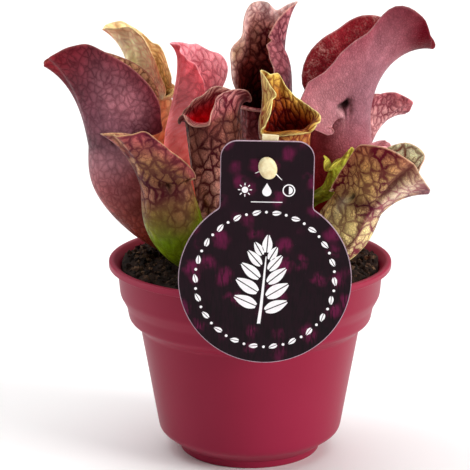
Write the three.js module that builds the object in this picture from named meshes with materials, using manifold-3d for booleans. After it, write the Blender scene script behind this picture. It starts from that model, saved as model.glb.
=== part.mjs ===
// A pitcher plant in a 9 cm plastic grower's pot, with a hang-on label card on a stake.
// Millimetres, +Z up. The origin is the middle of the pot's flat base.
import * as THREE from 'three';
import { mergeVertices } from 'three/addons/utils/BufferGeometryUtils.js';
import Module from 'manifold-3d';

const wasm = await Module();
wasm.setup();

// Pot
const RIM_RADIUS = 45;          // widest point of the rim, a 9 cm pot
const RIM_TOP = 63.4;
const WALL = 1.2;
const POT_SIDES = 40;
const DRAIN_HOLES = 6;
const DRAIN_RADIUS = 2.6;
const DRAIN_RING = 15;
const DRAIN_SIDES = 12;
// Outline of the pot's outside, from the base up: radius, height
const POT_OUTSIDE = [
  [22.5, 0], [22.9, 2.4], [29.3, 7], [35.2, 41.2], [38.7, 44.2], [39.5, 48.4],
  [41.5, 52.2], [42.3, 60.9], [RIM_RADIUS, 61.2], [RIM_RADIUS, 62.9], [44.2, RIM_TOP],
];
const POT_BODY_POINTS = 8;      // how many of them lie below the rim
const FLOOR_RADIUS = 21.4;      // inside the pot
const MOUTH_RADIUS = 41.1;      // inside the pot just under the rim
const MOUTH_HEIGHT = 61;
const RIM_INSIDE = [42.3, 63.2];

// Soil
const GAP = 0.3;                // clearance between pieces that touch
const SOIL_EDGE = 60.6;         // height of the soil at the pot's wall
const SOIL_RISE = 3.4;          // how much higher it is heaped in the middle
const SOIL_RADIUS = 40.55;
const SOIL_FLOOR_RADIUS = 21;
const SOIL_SKIRT = 4;           // height of the soil's straight edge under its top
const SOIL_RINGS = 7;
const SOIL_SIDES = 30;
const HEAP_RADIUS = 41;
const EDGE_CALM = 0.4;          // how much lower the lumps are at the pot's wall

// Crown, the short knobbly rhizome that every leaf grows round
const CROWN_RADIUS = 4.7;
const CROWN_TOP = 68;
const CROWN_BOTTOM = 55;
const CROWN_ROWS = 8;
const CROWN_SIDES = 14;
const CROWN_LUMP = 1.16;        // its widest place over its plain radius
const BUD = { outline: [[0, 0], [1.6, 0], [1.9, 4], [1.2, 8], [0, 11]], x: 0.5, y: 0.5, sunk: 4 };
const BUD_LEAN = 6;             // degrees backward
const BUD_SIDES = 10;

// Label card and stake
const CARD = {
  x: 4.6, back: -45.35, thickness: 0.75,
  discRadius: 25.5, discHeight: 68.6,
  tabWidth: 27.2, tabTop: 110.3, cornerRadius: 5,
  roll: 1,                      // degrees clockwise about the button
};
const BUTTON = { x: 4.7, height: 102.5, width: 5.4, tall: 6.8, thick: 1.7, tilt: 18 };
const CARD_SEGMENTS = 10;
const NECK_WIDTH = 3.2;
const NECK_TALL = 4;
const NECK_SIDES = 14;
const BUTTON_SIDES = 20;
const DOME = 0.82;              // the button's domed face over its edge
const EDGE_DEPTH = 0.6;         // the button's edge over its whole thickness
const BITE = 0.8;               // how far the neck reaches into the stake
const SLITS = [                 // small tears from the hole: width, length, degrees from +X
  [0.5, 3.6, -45], [0.5, 2.2, 200],
];
const STAKE_WIDTH = 4.8;
const STAKE_THICK = 1.7;
const STAKE_LEAN = 5;           // degrees sideways
// Front face of the stake seen from the side, from its foot up: y, height
const STAKE_FRONT = [
  [-30.8, 28], [-36.6, 57], [-41.2, 80], [-44.2, 93], [-45.05, 99], [-45.05, 111.8],
];

// Leaves
const BLADE = 0.75;             // thickness of the leaf wall
const TUBE_ROWS = 7;
const HOOD_ROWS = 5;
const SOLID_ROWS = 2;           // rows of the tube that are solid, above the foot
const HOOD_BEND_START = 0.35;   // how early a hood's sideways growth sets in
const SHORTEST_ROW = 0.8;
const STEPS = 12;               // steps along a growth line from one row to the next
const KEEL_SPREAD = 14;         // degrees
const KEEL_FULLNESS = 0.7;
const CREST_SLOPE = 0.3;        // slope kept where the values turn round the mouth
const EAR_SWEEP = 70;           // a line swept further than this first folds outward
const EAR_FOLD = 0.6;
const SOCKET_ROWS = 3;
const SOCKET_EASE = 0.25;       // allows for the flat sides of a leaf's foot
const SOCKET_KEEL = 0.4;        // share of the keel's height that the hole is wider by
// Bearings round the mouth where the blade is divided, in degrees from the leaf's back
const BEARINGS = [
  0, 18, 36, 54, 68, 80, 90, 98, 107, 120, 145,
  180, 215, 240, 253, 262, 270, 280, 292, 306, 324, 342,
];
const FEW_BEARINGS = [0, 32, 62, 90, 116, 146, 180, 214, 244, 270, 298, 328];

// Each leaf: back is the compass bearing its back faces, spine runs from its foot to the
// middle of its mouth, girth is the tube's half width and half depth at each spine point.
// Each hood row is one growth line from the mouth's edge: its bearing round the mouth from
// the leaf's back, its length, the angle it has flared outward by its end, and the angle it
// is swept forward round the mouth. curl says how late the flare comes, lean tips the hood
// backward and wing is the height of the keel down the tube's front.
const LEAVES = [
  {
    name: 'pitcher_left_large', colour: 0x8f4257, back: 184, curl: 1.8, lean: 0, wing: 2,
    spine: [[-9, -1, 61], [-20, 0.5, 68.5], [-31.5, 1, 78.5], [-41, 0, 89.5], [-43, 0, 101]],
    girth: [[2.3, 2.3], [5.5, 5], [9, 7.8], [9.8, 9.1], [7.6, 8]],
    hood: [
      [0, 30, 73, 0], [15, 31, 60, 0], [30, 32, 40, 0], [50, 34, 22, 5], [65, 33, 14, 11],
      [78, 32, 12, 22], [86, 29, 12, 38], [92, 24, 14, 57], [98, 20, 14, 78],
      [104, 16, 16, 92], [112, 10, 28, 98], [124, 4, 45, 70], [142, 1.5, 75, 20],
      [180, 1.5, 90, 0], [-142, 1.5, 75, 20], [-122, 4, 40, 70], [-106, 12, 20, 80],
      [-92, 18, 18, 60], [-78, 22, 20, 28], [-55, 27, 30, 5], [-30, 30, 45, 0],
    ],
  },
  {
    name: 'pitcher_right_large', colour: 0x96506a, back: -6, curl: 1.8, lean: 5, wing: 2,
    spine: [[9, 0.5, 61], [16, 4, 68], [24.5, 5, 79], [28, 4, 94], [28, 4, 109]],
    girth: [[2.3, 2.3], [5, 5], [8.6, 8.8], [10, 9.8], [9, 9.3]],
    hood: [
      [0, 33, 96, 0], [-15, 34, 76, 0], [-30, 36, 58, 0], [-45, 36.5, 42, 0], [-58, 36, 26, 4],
      [-68, 32, 18, 10], [-75, 26, 14, 22], [-80, 21, 12, 42], [-85, 19, 12, 62],
      [-91, 17, 14, 88], [-97, 16, 16, 118], [-103, 16, 20, 140], [-110, 14, 28, 155],
      [-118, 9, 40, 140], [-128, 4, 60, 90], [-144, 1.5, 75, 20], [180, 1.5, 90, 0],
      [142, 1.5, 75, 20], [120, 4, 40, 80], [104, 12, 10, 80], [92, 20, 0, 50],
      [78, 26, 0, 25], [55, 31, 10, 8], [25, 33, 46, 0],
    ],
  },
  {
    name: 'pitcher_left_front', colour: 0x8a6a4e, back: 205, curl: 1.5, lean: 8, wing: 1.5,
    spine: [[-7.5, -6.5, 61], [-12.5, -13, 65], [-19.5, -19.5, 71.5], [-24, -23, 81],
      [-25.3, -23.5, 93]],
    girth: [[2.2, 2.2], [4, 3.8], [6.8, 6.6], [8.8, 8.6], [8, 8.4]],
    hood: [
      [0, 21, 48, 0], [20, 20, 36, 0], [40, 20, 26, 2], [58, 20, 18, 6], [72, 17, 14, 12],
      [84, 13, 12, 25], [92, 10, 12, 48], [100, 8, 14, 75], [108, 5, 25, 90],
      [120, 2, 60, 60], [145, 1.5, 100, 20], [180, 1.5, 110, 0], [-145, 1.5, 100, 20],
      [-122, 2, 60, 60], [-105, 8, 20, 80], [-90, 12, 14, 40], [-65, 17, 16, 10],
      [-35, 20, 30, 0],
    ],
  },
  {
    name: 'pitcher_right_front', colour: 0xa08a58, back: -32, curl: 1.3, lean: 12, wing: 1.5,
    spine: [[9.5, -4.8, 61], [15, -11.5, 65.5], [23, -17.5, 70.5], [28.5, -22, 78],
      [32, -24, 87]],
    girth: [[2.2, 2.2], [4.2, 4], [6.8, 6.8], [8.5, 8.5], [9, 9]],
    hood: [
      [0, 19, 62, 0], [-20, 21, 48, 0], [-40, 23, 26, 0], [-58, 24, 14, 12],
      [-72, 23, 8, 26], [-82, 20, 8, 42], [-90, 15, 10, 65], [-98, 12, 14, 95],
      [-106, 10, 20, 110], [-115, 7, 32, 112], [-127, 3, 55, 70], [-146, 1.5, 75, 20],
      [180, 1.5, 90, 0], [145, 1.5, 75, 20], [122, 2, 60, 60], [105, 8, 20, 80],
      [88, 14, 8, 40], [62, 19, 4, 14], [32, 18, 20, 0],
    ],
  },
  {
    name: 'pitcher_centre_left', colour: 0x7d4a55, back: 35, curl: 1.5, lean: 0, wing: 1.5,
    spine: [[-2, -8, 61], [-4, -8.7, 69], [-8.5, -10.8, 80], [-11, -12.7, 95],
      [-12, -12.7, 110]],
    girth: [[2.2, 2.2], [4, 4], [6.5, 6.3], [7.6, 7.6], [8, 8.5]],
    hood: [
      [0, 9, 36, 0], [25, 10, 24, 0], [50, 10, 10, 0], [75, 8, -10, 5], [92, 5, -5, 25],
      [108, 3, 20, 50], [125, 2, 60, 40], [150, 1.5, 100, 20], [180, 4, 50, 0],
      [-150, 1.5, 100, 20], [-120, 2, 60, 40], [-90, 3, 40, 20], [-60, 5, 36, 5],
      [-30, 7, 38, 0],
    ],
  },
  {
    name: 'pitcher_coral', colour: 0xd9707a, back: 188, curl: 4, lean: -16, wing: 1.5,
    spine: [[-7.5, 6, 61], [-13, 10.3, 67], [-17.8, 12, 77], [-21.5, 10.5, 90], [-22, 8.5, 103]],
    girth: [[2.2, 2.2], [3.8, 3.6], [6.2, 6.2], [6.3, 6.3], [5, 5]],
    hood: [
      [0, 29, 86, 0], [18, 28, 52, 0], [40, 26, 18, 0], [60, 23, 8, 6], [76, 19, 8, 16],
      [88, 16, 6, 28], [98, 12, 8, 46], [108, 8, 16, 62], [120, 3.5, 40, 50],
      [145, 1.5, 75, 20], [180, 1.5, 90, 0], [-145, 1.5, 75, 20], [-124, 4, 40, 50],
      [-110, 12, 10, 56], [-94, 21, 4, 44], [-78, 25, 2, 28], [-58, 26, 0, 12],
      [-28, 28, 10, 0],
    ],
  },
  {
    name: 'pitcher_cream', colour: 0xcdb877, back: 165, curl: 2.2, lean: 0, wing: 1.5,
    spine: [[-4, 9.5, 61], [-10.5, 20, 67], [-22, 26, 78.5], [-29.5, 24.5, 95],
      [-31.5, 23, 110.5]],
    girth: [[2.2, 2.2], [4.2, 4], [7, 7], [7, 7], [6, 6]],
    hood: [
      [0, 27, 72, 0], [25, 27, 46, 0], [48, 26, 26, 0], [66, 25, 18, 2], [80, 22, 14, 6],
      [92, 18, 10, 16], [102, 11, 14, 40], [113, 5, 25, 80], [125, 2, 50, 70],
      [145, 1.5, 100, 20], [180, 1.5, 110, 0], [-145, 1.5, 100, 20], [-122, 4, 30, 60],
      [-108, 10, 6, 55], [-95, 13, 4, 36], [-82, 18, 4, 22], [-60, 23, 10, 8],
      [-30, 26, 36, 0],
    ],
  },
  {
    name: 'pitcher_tall', colour: 0x5c1f2b, back: 50, curl: 3, lean: -2, wing: 1.5,
    spine: [[2, 9, 61], [3, 12, 68], [5, 16.5, 79], [6, 18, 94], [6, 17, 109]],
    girth: [[2.2, 2.2], [4.5, 4.5], [7.5, 7.5], [8, 8], [7.8, 8]],
    hood: [
      [0, 32, 60, 0], [-18, 27, 14, 0], [-38, 24, 4, 0], [-55, 21, 0, 6],
      [-70, 18, -4, 18], [-82, 15, 0, 32], [-94, 12, 5, 50], [-106, 8, 18, 75],
      [-120, 3, 50, 70], [-145, 1.5, 100, 20], [180, 1.5, 110, 0], [145, 1.5, 100, 20],
      [122, 4, 40, 50], [108, 8, 14, 50], [96, 14, 12, 34], [86, 19, 10, 24],
      [78, 22, -2, 14], [70, 26, 8, 10], [50, 31, 10, 4], [26, 31, 14, 0],
    ],
  },
  {
    name: 'pitcher_yellow', colour: 0xb3a04a, back: 100, curl: 1.4, lean: 0, wing: 1,
    spine: [[3, -8.5, 61], [6.5, -12.5, 70], [10.5, -15.5, 82], [11.5, -16, 96], [11, -15.5, 108]],
    girth: [[2.2, 2.2], [4, 4], [6, 6], [6.5, 6.5], [8, 7]],
    hood: [
      [0, 17, 5, 0], [18, 16.5, 0, 0], [34, 18, 5, 0], [46, 17, -20, 4], [58, 15, -50, 8],
      [72, 13, -62, 14], [86, 12, -55, 26], [98, 9, -30, 50], [110, 5, 30, 60],
      [125, 2, 60, 40], [145, 1.5, 100, 20], [180, 2, 80, 0], [-145, 1.5, 100, 20],
      [-125, 3, 70, 40], [-110, 6, 50, 50], [-95, 9, 42, 35], [-80, 11, 34, 18],
      [-62, 12, 24, 5], [-42, 12, 12, 0], [-20, 14, 5, 0],
    ],
  },
  {
    name: 'pitcher_right_back', colour: 0xb8727c, back: 10, curl: 1.5, lean: 8, wing: 1,
    spine: [[7, 6, 61], [15, 15, 67], [26, 21, 77], [32, 22, 88], [34, 22, 97]],
    girth: [[2.2, 2.2], [4, 4], [6.3, 6.3], [6.5, 6.5], [6, 6]],
    hood: [
      [0, 18, 92, 0], [-25, 18, 56, 0], [-50, 18, 24, 0], [-70, 16, 12, 8],
      [-88, 12, 10, 30], [-104, 7, 15, 70], [-120, 2, 50, 60], [-145, 1.5, 100, 20],
      [180, 1.5, 110, 0], [145, 1.5, 100, 20], [120, 3, 50, 60], [104, 8, 15, 70],
      [88, 12, 10, 30], [60, 15, 20, 8], [28, 17, 50, 0],
    ],
  },
  {
    name: 'pitcher_young_green', colour: 0xb4c24a, back: -10, curl: 1.2, lean: 10, wing: 0.8,
    small: true,
    spine: [[14.5, -3.3, 61.5], [17.5, -6, 70], [21, -9, 80], [25, -10, 91]],
    girth: [[1.6, 1.6], [2.4, 2.4], [3.4, 3.3], [3.6, 3.4]],
    hood: [
      [0, 7, 20, 0], [-40, 8, 12, 0], [-75, 7, 8, 5], [-105, 4, 12, 15],
      [-135, 1.5, 60, 0], [-160, 3.5, 70, 0], [180, 6, 75, 0], [160, 3.5, 70, 0],
      [135, 1.5, 60, 0], [105, 4, 12, 15], [75, 7, 8, 5], [40, 8, 12, 0],
    ],
  },
  {
    name: 'pitcher_young_pink', colour: 0xe28a94, back: 0, curl: 1.4, lean: 8, wing: 0.6,
    small: true,
    spine: [[18, -6, 61], [24, -7, 67], [32.5, -8, 77], [36.5, -8, 87],
      [37.5, -8, 95]],
    girth: [[1.6, 1.6], [2.4, 2.4], [3.4, 3.3], [3.6, 3.5], [3.4, 3.3]],
    hood: [
      [0, 9, 80, 0], [-35, 8, 40, 0], [-70, 7, 15, 5], [-100, 4, 15, 25],
      [-130, 1.5, 60, 20], [180, 1.5, 100, 0], [130, 1.5, 60, 20], [100, 4, 15, 25],
      [70, 7, 15, 5], [35, 8, 40, 0],
    ],
  },
];

const COLOURS = { pot: 0xb03a55, soil: 0x2a1d17, crown: 0x5a3a2a, card: 0x35112f, stake: 0xe6d9b4 };

const DEG = Math.PI / 180;

// Helpers for closed meshes

function signedVolume(points, faces) {
  const a = new THREE.Vector3();
  const b = new THREE.Vector3();
  const c = new THREE.Vector3();
  let sum = 0;
  for (const [i, j, k] of faces) {
    a.copy(points[i]);
    b.copy(points[j]);
    c.copy(points[k]);
    sum += a.dot(b.cross(c)) / 6;
  }
  return sum;
}

function geometryOf(points, faces) {
  const outward = signedVolume(points, faces) > 0;
  const geometry = new THREE.BufferGeometry();
  const position = points.flatMap((p) => [p.x, p.y, p.z]);
  const index = faces.flatMap(([i, j, k]) => (outward ? [i, j, k] : [i, k, j]));
  geometry.setAttribute('position', new THREE.Float32BufferAttribute(position, 3));
  geometry.setIndex(index);
  return geometry;
}

// The same surface with shared vertices, without triangles that have no area
function welded(geometry) {
  geometry.deleteAttribute('normal');
  geometry.deleteAttribute('uv');
  const merged = mergeVertices(geometry, 1e-4);
  const { position } = merged.attributes;
  const points = [];
  for (let i = 0; i < position.count; i += 1) {
    points.push(new THREE.Vector3().fromBufferAttribute(position, i));
  }
  const faces = [];
  for (let i = 0; i < merged.index.count; i += 3) {
    const face = [0, 1, 2].map((k) => merged.index.getX(i + k));
    if (new Set(face).size === 3) faces.push(face);
  }
  return geometryOf(points, faces);
}

function toSolid(geometry) {
  return new wasm.Manifold(new wasm.Mesh({
    numProp: 3,
    vertProperties: new Float32Array(geometry.attributes.position.array),
    triVerts: new Uint32Array(geometry.index.array),
  }));
}

function fromSolid(solid) {
  const { vertProperties, triVerts, numProp } = solid.getMesh();
  const position = [];
  for (let i = 0; i < vertProperties.length; i += numProp) {
    position.push(...vertProperties.slice(i, i + 3));
  }
  const geometry = new THREE.BufferGeometry();
  geometry.setAttribute('position', new THREE.Float32BufferAttribute(position, 3));
  geometry.setIndex(Array.from(triVerts));
  return geometry;
}

// A turned shape about the Z axis from a closed outline of radius and height
function turned(outline, sides) {
  const profile = outline.map(([r, z]) => new THREE.Vector2(r, z));
  const geometry = new THREE.LatheGeometry(profile, sides);
  geometry.rotateX(Math.PI / 2);
  return welded(geometry);
}

// A rod of round or oval section along Y, from one y to another
function ovalRod(width, tall, from, to, sides) {
  const geometry = new THREE.CylinderGeometry(0.5, 0.5, Math.abs(to - from), sides);
  geometry.scale(width, 1, tall);
  geometry.translate(0, (from + to) / 2, 0);
  return welded(geometry);
}

// Pot

function insideOf(outline, wall) {
  return outline.map(([r, z], i) => {
    const [r0, z0] = outline[Math.max(i - 1, 0)];
    const [r1, z1] = outline[Math.min(i + 1, outline.length - 1)];
    const along = new THREE.Vector2(r1 - r0, z1 - z0).normalize();
    return [r - wall * along.y, z + wall * along.x];
  });
}

const POT_BODY = POT_OUTSIDE.slice(0, POT_BODY_POINTS);

function potGeometry() {
  const inside = insideOf(POT_BODY, WALL);
  inside[0] = [FLOOR_RADIUS, WALL];
  inside[inside.length - 1] = [MOUTH_RADIUS, MOUTH_HEIGHT];
  const outline = [[0, 0], ...POT_OUTSIDE, RIM_INSIDE, ...inside.reverse(), [0, WALL]];
  let pot = toSolid(turned(outline, POT_SIDES));
  for (let i = 0; i < DRAIN_HOLES; i += 1) {
    const angle = (i / DRAIN_HOLES) * 2 * Math.PI;
    const hole = new THREE.CylinderGeometry(DRAIN_RADIUS, DRAIN_RADIUS, 4 * WALL, DRAIN_SIDES);
    hole.rotateX(Math.PI / 2);
    hole.translate(DRAIN_RING * Math.cos(angle), DRAIN_RING * Math.sin(angle), WALL);
    pot = pot.subtract(toSolid(welded(hole)));
  }
  return fromSolid(pot);
}

// Soil: heaped in the middle, with lumps made by a few crossing waves

function soilHeight(x, y) {
  const r = Math.hypot(x, y) / HEAP_RADIUS;
  const heap = SOIL_RISE * (1 - r * r);
  const lumps = 0.7 * Math.sin(0.33 * x + 0.21 * y + 1) + 0.6 * Math.sin(0.27 * y - 0.41 * x)
    + 0.4 * Math.sin(0.74 * x + 0.3) * Math.sin(0.66 * y + 2);
  return SOIL_EDGE + heap + lumps * (1 - EDGE_CALM * r);
}

function soilGeometry() {
  const wall = insideOf(POT_BODY, WALL + GAP);
  wall[0] = [SOIL_FLOOR_RADIUS, WALL + GAP];
  const below = wall.filter(([, z]) => z < SOIL_EDGE - SOIL_SKIRT);
  const top = [];
  for (let i = SOIL_RINGS; i >= 0; i -= 1) top.push([(SOIL_RADIUS * i) / SOIL_RINGS, SOIL_EDGE]);
  const geometry = turned([[0, WALL + GAP], ...below, ...top], SOIL_SIDES);
  const { position } = geometry.attributes;
  for (let i = 0; i < position.count; i += 1) {
    if (position.getZ(i) > SOIL_EDGE - SOIL_SKIRT) {
      position.setZ(i, soilHeight(position.getX(i), position.getY(i)));
    }
  }
  return geometry;
}

// Crown: a lumpy bulb with a short pointed bud in the middle

function crownGeometry() {
  const points = [];
  const faces = [];
  const middle = (CROWN_TOP + CROWN_BOTTOM) / 2;
  const half = (CROWN_TOP - CROWN_BOTTOM) / 2;
  for (let i = 0; i <= CROWN_ROWS; i += 1) {
    const down = (i / CROWN_ROWS) * Math.PI;
    for (let j = 0; j < CROWN_SIDES; j += 1) {
      const turn = (j / CROWN_SIDES) * 2 * Math.PI;
      const lump = 1 + 0.09 * Math.sin(3 * turn + 4 * down) + 0.05 * Math.sin(5 * turn);
      const r = CROWN_RADIUS * lump * Math.sin(down);
      points.push(new THREE.Vector3(r * Math.cos(turn), r * Math.sin(turn),
        middle + half * Math.cos(down)));
    }
  }
  for (let i = 0; i < CROWN_ROWS; i += 1) {
    for (let j = 0; j < CROWN_SIDES; j += 1) {
      const a = i * CROWN_SIDES + j;
      const b = i * CROWN_SIDES + ((j + 1) % CROWN_SIDES);
      faces.push([a, a + CROWN_SIDES, b], [b, a + CROWN_SIDES, b + CROWN_SIDES]);
    }
  }
  const bulb = toSolid(welded(geometryOf(points, faces)));
  const bud = turned(BUD.outline, BUD_SIDES);
  bud.rotateX(-BUD_LEAN * DEG);
  bud.translate(BUD.x, BUD.y, CROWN_TOP - BUD.sunk);
  return fromSolid(bulb.add(toSolid(bud)));
}

// Leaves

// A smooth periodic curve through rows of bearing and value, read at one bearing
function roundMouth(hood, column, bearing) {
  const rows = [...hood].sort((p, q) => p[0] - q[0]);
  const n = rows.length;
  const at = (i) => {
    const turn = Math.floor(i / n);
    const row = rows[i - turn * n];
    return [row[0] + 360 * turn, row[column]];
  };
  const slope = (i) => {
    const [x0, y0] = at(i - 1);
    const [x1, y1] = at(i);
    const [x2, y2] = at(i + 1);
    const before = (y1 - y0) / (x1 - x0);
    const after = (y2 - y1) / (x2 - x1);
    const mean = (before * (x2 - x1) + after * (x1 - x0)) / (x2 - x0);
    return before * after <= 0 ? CREST_SLOPE * mean : mean;
  };
  let x = bearing;
  while (x >= rows[0][0] + 360) x -= 360;
  while (x < rows[0][0]) x += 360;
  let i = 0;
  while (i < n - 1 && at(i + 1)[0] <= x) i += 1;
  const [x0, y0] = at(i);
  const [x1, y1] = at(i + 1);
  const h = x1 - x0;
  const f = (x - x0) / h;
  return (1 + 2 * f) * (1 - f) ** 2 * y0 + f * (1 - f) ** 2 * h * slope(i)
    + f * f * (3 - 2 * f) * y1 + f * f * (f - 1) * h * slope(i + 1);
}

function curveThrough(list) {
  const points = list.map((p) => new THREE.Vector3(p[0], p[1], p[2] ?? 0));
  return new THREE.CatmullRomCurve3(points, false, 'catmullrom', 0.5);
}

// Rows of points round the leaf, from its foot to the hood's edge
function leafRows(leaf, bearings, extraGirth) {
  const spine = curveThrough(leaf.spine);
  const girth = curveThrough(leaf.girth);
  const across = new THREE.Vector3(-Math.sin(leaf.back * DEG), Math.cos(leaf.back * DEG), 0);
  const rows = [];
  let frame = null;
  for (let k = 0; k < TUBE_ROWS; k += 1) {
    const t = k / (TUBE_ROWS - 1);
    const along = spine.getTangent(t);
    const toBack = across.clone().cross(along).normalize();
    const toSide = along.clone().cross(toBack);
    const size = girth.getPoint(t);
    const halfWidth = size.x + extraGirth;
    const halfDepth = size.y + extraGirth;
    const swell = Math.max(Math.sin(Math.PI * t), 0) ** KEEL_FULLNESS;
    const keel = leaf.wing * swell;
    rows.push(bearings.map((bearing) => {
      const ridge = keel * Math.exp(-(((bearing - 180) / KEEL_SPREAD) ** 2));
      return spine.getPoint(t)
        .addScaledVector(toBack, halfDepth * Math.cos(bearing * DEG) - ridge)
        .addScaledVector(toSide, halfWidth * Math.sin(bearing * DEG));
    }));
    frame = { along, toBack, toSide, halfWidth, halfDepth };
  }
  return { rows, frame };
}

function hoodRows(leaf, bearings, mouth, frame) {
  const { along, toBack, toSide, halfWidth, halfDepth } = frame;
  const upward = along.clone().multiplyScalar(Math.cos(leaf.lean * DEG))
    .addScaledVector(toBack, Math.sin(leaf.lean * DEG));
  const steps = STEPS * HOOD_ROWS;
  const lines = bearings.map((bearing, column) => {
    const cos = Math.cos(bearing * DEG);
    const sin = Math.sin(bearing * DEG);
    const outward = toBack.clone().multiplyScalar(cos / halfDepth)
      .addScaledVector(toSide, sin / halfWidth).normalize();
    const forward = toBack.clone().multiplyScalar(-halfDepth * sin)
      .addScaledVector(toSide, halfWidth * cos).normalize();
    if (bearing >= 180) forward.negate();
    const reach = Math.max(roundMouth(leaf.hood, 1, bearing), SHORTEST_ROW);
    const flare = roundMouth(leaf.hood, 2, bearing);
    const sweep = roundMouth(leaf.hood, 3, bearing);
    const fold = EAR_FOLD * Math.max(sweep - EAR_SWEEP, 0);
    const point = mouth[column].clone();
    const line = [];
    for (let i = 0; i < steps; i += 1) {
      const s = (i + 0.5) / steps;
      const out = (flare * s ** leaf.curl + fold * (1 - s) ** 3) * DEG;
      const round = sweep * s ** HOOD_BEND_START * DEG;
      point.addScaledVector(upward, (Math.cos(out) * Math.cos(round) * reach) / steps)
        .addScaledVector(forward, (Math.cos(out) * Math.sin(round) * reach) / steps)
        .addScaledVector(outward, (Math.sin(out) * reach) / steps);
      if ((i + 1) % STEPS === 0) line.push(point.clone());
    }
    return line;
  });
  return Array.from({ length: HOOD_ROWS }, (_, k) => lines.map((line) => line[k]));
}

// The rows moved inward, square to the surface, by the blade's thickness
function innerRows(rows, thickness) {
  const n = rows[0].length;
  return rows.map((row, i) => row.map((p, j) => {
    const up = rows[Math.min(i + 1, rows.length - 1)][j].clone()
      .sub(rows[Math.max(i - 1, 0)][j]).normalize();
    const round = row[(j + 1) % n].clone().sub(row[(j + n - 1) % n]).normalize();
    const outward = round.cross(up).normalize();
    return p.clone().addScaledVector(outward, -thickness);
  }));
}

function leafGeometry(leaf) {
  const bearings = leaf.small ? FEW_BEARINGS : BEARINGS;
  const n = bearings.length;
  const { rows, frame } = leafRows(leaf, bearings, 0);
  const outer = [...rows, ...hoodRows(leaf, bearings, rows[rows.length - 1], frame)];
  const inner = innerRows(outer, BLADE);
  const points = [...outer.flat(), ...inner.flat()];
  const faces = [];
  const second = outer.length * n;
  for (let i = 0; i < outer.length - 1; i += 1) {
    for (let j = 0; j < n; j += 1) {
      const a = i * n + j;
      const b = i * n + ((j + 1) % n);
      faces.push([a, b, b + n], [a, b + n, a + n]);
      if (i >= SOLID_ROWS) {
        faces.push([second + b + n, second + b, second + a],
          [second + a + n, second + b + n, second + a]);
      }
    }
  }
  const lastRow = (outer.length - 1) * n;
  const floorRow = second + SOLID_ROWS * n;
  const foot = points.push(new THREE.Vector3(...leaf.spine[0])) - 1;
  const floorPoints = inner[SOLID_ROWS];
  const middle = new THREE.Vector3();
  for (const p of floorPoints) middle.addScaledVector(p, 1 / n);
  const floor = points.push(middle) - 1;
  for (let j = 0; j < n; j += 1) {
    const next = (j + 1) % n;
    faces.push([foot, next, j]);
    faces.push([floor, floorRow + j, floorRow + next]);
    faces.push([lastRow + j, lastRow + next, second + lastRow + next],
      [lastRow + j, second + lastRow + next, second + lastRow + j]);
  }
  return welded(geometryOf(points, faces));
}

// The plain hole in the soil that a leaf's foot stands in
function socketSolid(leaf) {
  const bearings = FEW_BEARINGS;
  const n = bearings.length;
  const wider = GAP + SOCKET_EASE + SOCKET_KEEL * leaf.wing;
  const { rows } = leafRows({ ...leaf, wing: 0 }, bearings, wider);
  const used = rows.slice(0, SOCKET_ROWS + 1);
  const sink = curveThrough(leaf.spine).getTangent(0).multiplyScalar(-GAP);
  for (const point of used[0]) point.add(sink);
  const points = used.flat();
  const faces = [];
  for (let i = 0; i < SOCKET_ROWS; i += 1) {
    for (let j = 0; j < n; j += 1) {
      const a = i * n + j;
      const b = i * n + ((j + 1) % n);
      faces.push([a, b, b + n], [a, b + n, a + n]);
    }
  }
  const foot = points.push(new THREE.Vector3(...leaf.spine[0]).add(sink)) - 1;
  const top = points.push(curveThrough(leaf.spine).getPoint(SOCKET_ROWS / (TUBE_ROWS - 1))) - 1;
  for (let j = 0; j < n; j += 1) {
    const next = (j + 1) % n;
    faces.push([foot, next, j], [top, SOCKET_ROWS * n + j, SOCKET_ROWS * n + next]);
  }
  return toSolid(welded(geometryOf(points, faces)));
}

// Label card: a disc with a tab on top, its hole, and the two slits beside the hole

function cardShape() {
  const half = CARD.tabWidth / 2;
  const rise = Math.sqrt(CARD.discRadius ** 2 - half ** 2);
  const top = CARD.tabTop - CARD.discHeight;
  const join = Math.atan2(rise, half);
  const r = CARD.cornerRadius;
  const shape = new THREE.Shape();
  shape.moveTo(half, rise);
  shape.lineTo(half, top - r);
  shape.absarc(half - r, top - r, r, 0, Math.PI / 2, false);
  shape.lineTo(-half + r, top);
  shape.absarc(-half + r, top - r, r, Math.PI / 2, Math.PI, false);
  shape.lineTo(-half, rise);
  shape.absarc(0, 0, CARD.discRadius, Math.PI - join, 2 * Math.PI + join, false);
  const hole = new THREE.Path();
  const x = BUTTON.x - CARD.x;
  const y = BUTTON.height - CARD.discHeight;
  hole.absellipse(x, y, NECK_WIDTH / 2 + GAP, NECK_TALL / 2 + GAP, 0, 2 * Math.PI, true);
  shape.holes.push(hole);
  return shape;
}

function cardGeometry() {
  const geometry = new THREE.ExtrudeGeometry(cardShape(), {
    depth: CARD.thickness, bevelEnabled: false, curveSegments: CARD_SEGMENTS,
  });
  geometry.rotateX(Math.PI / 2);
  geometry.translate(0, CARD.back, 0);
  let card = toSolid(welded(geometry));
  for (const [width, length, turn] of SLITS) {
    const slit = new THREE.BoxGeometry(length, 4 * CARD.thickness, width);
    slit.translate(NECK_WIDTH / 2 + length / 2, 0, 0);
    slit.rotateY(-turn * DEG);
    slit.translate(BUTTON.x - CARD.x, CARD.back, BUTTON.height - CARD.discHeight);
    card = card.subtract(toSolid(welded(slit)));
  }
  return fromSolid(card);
}

// Stake with the button that the card hangs on

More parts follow.
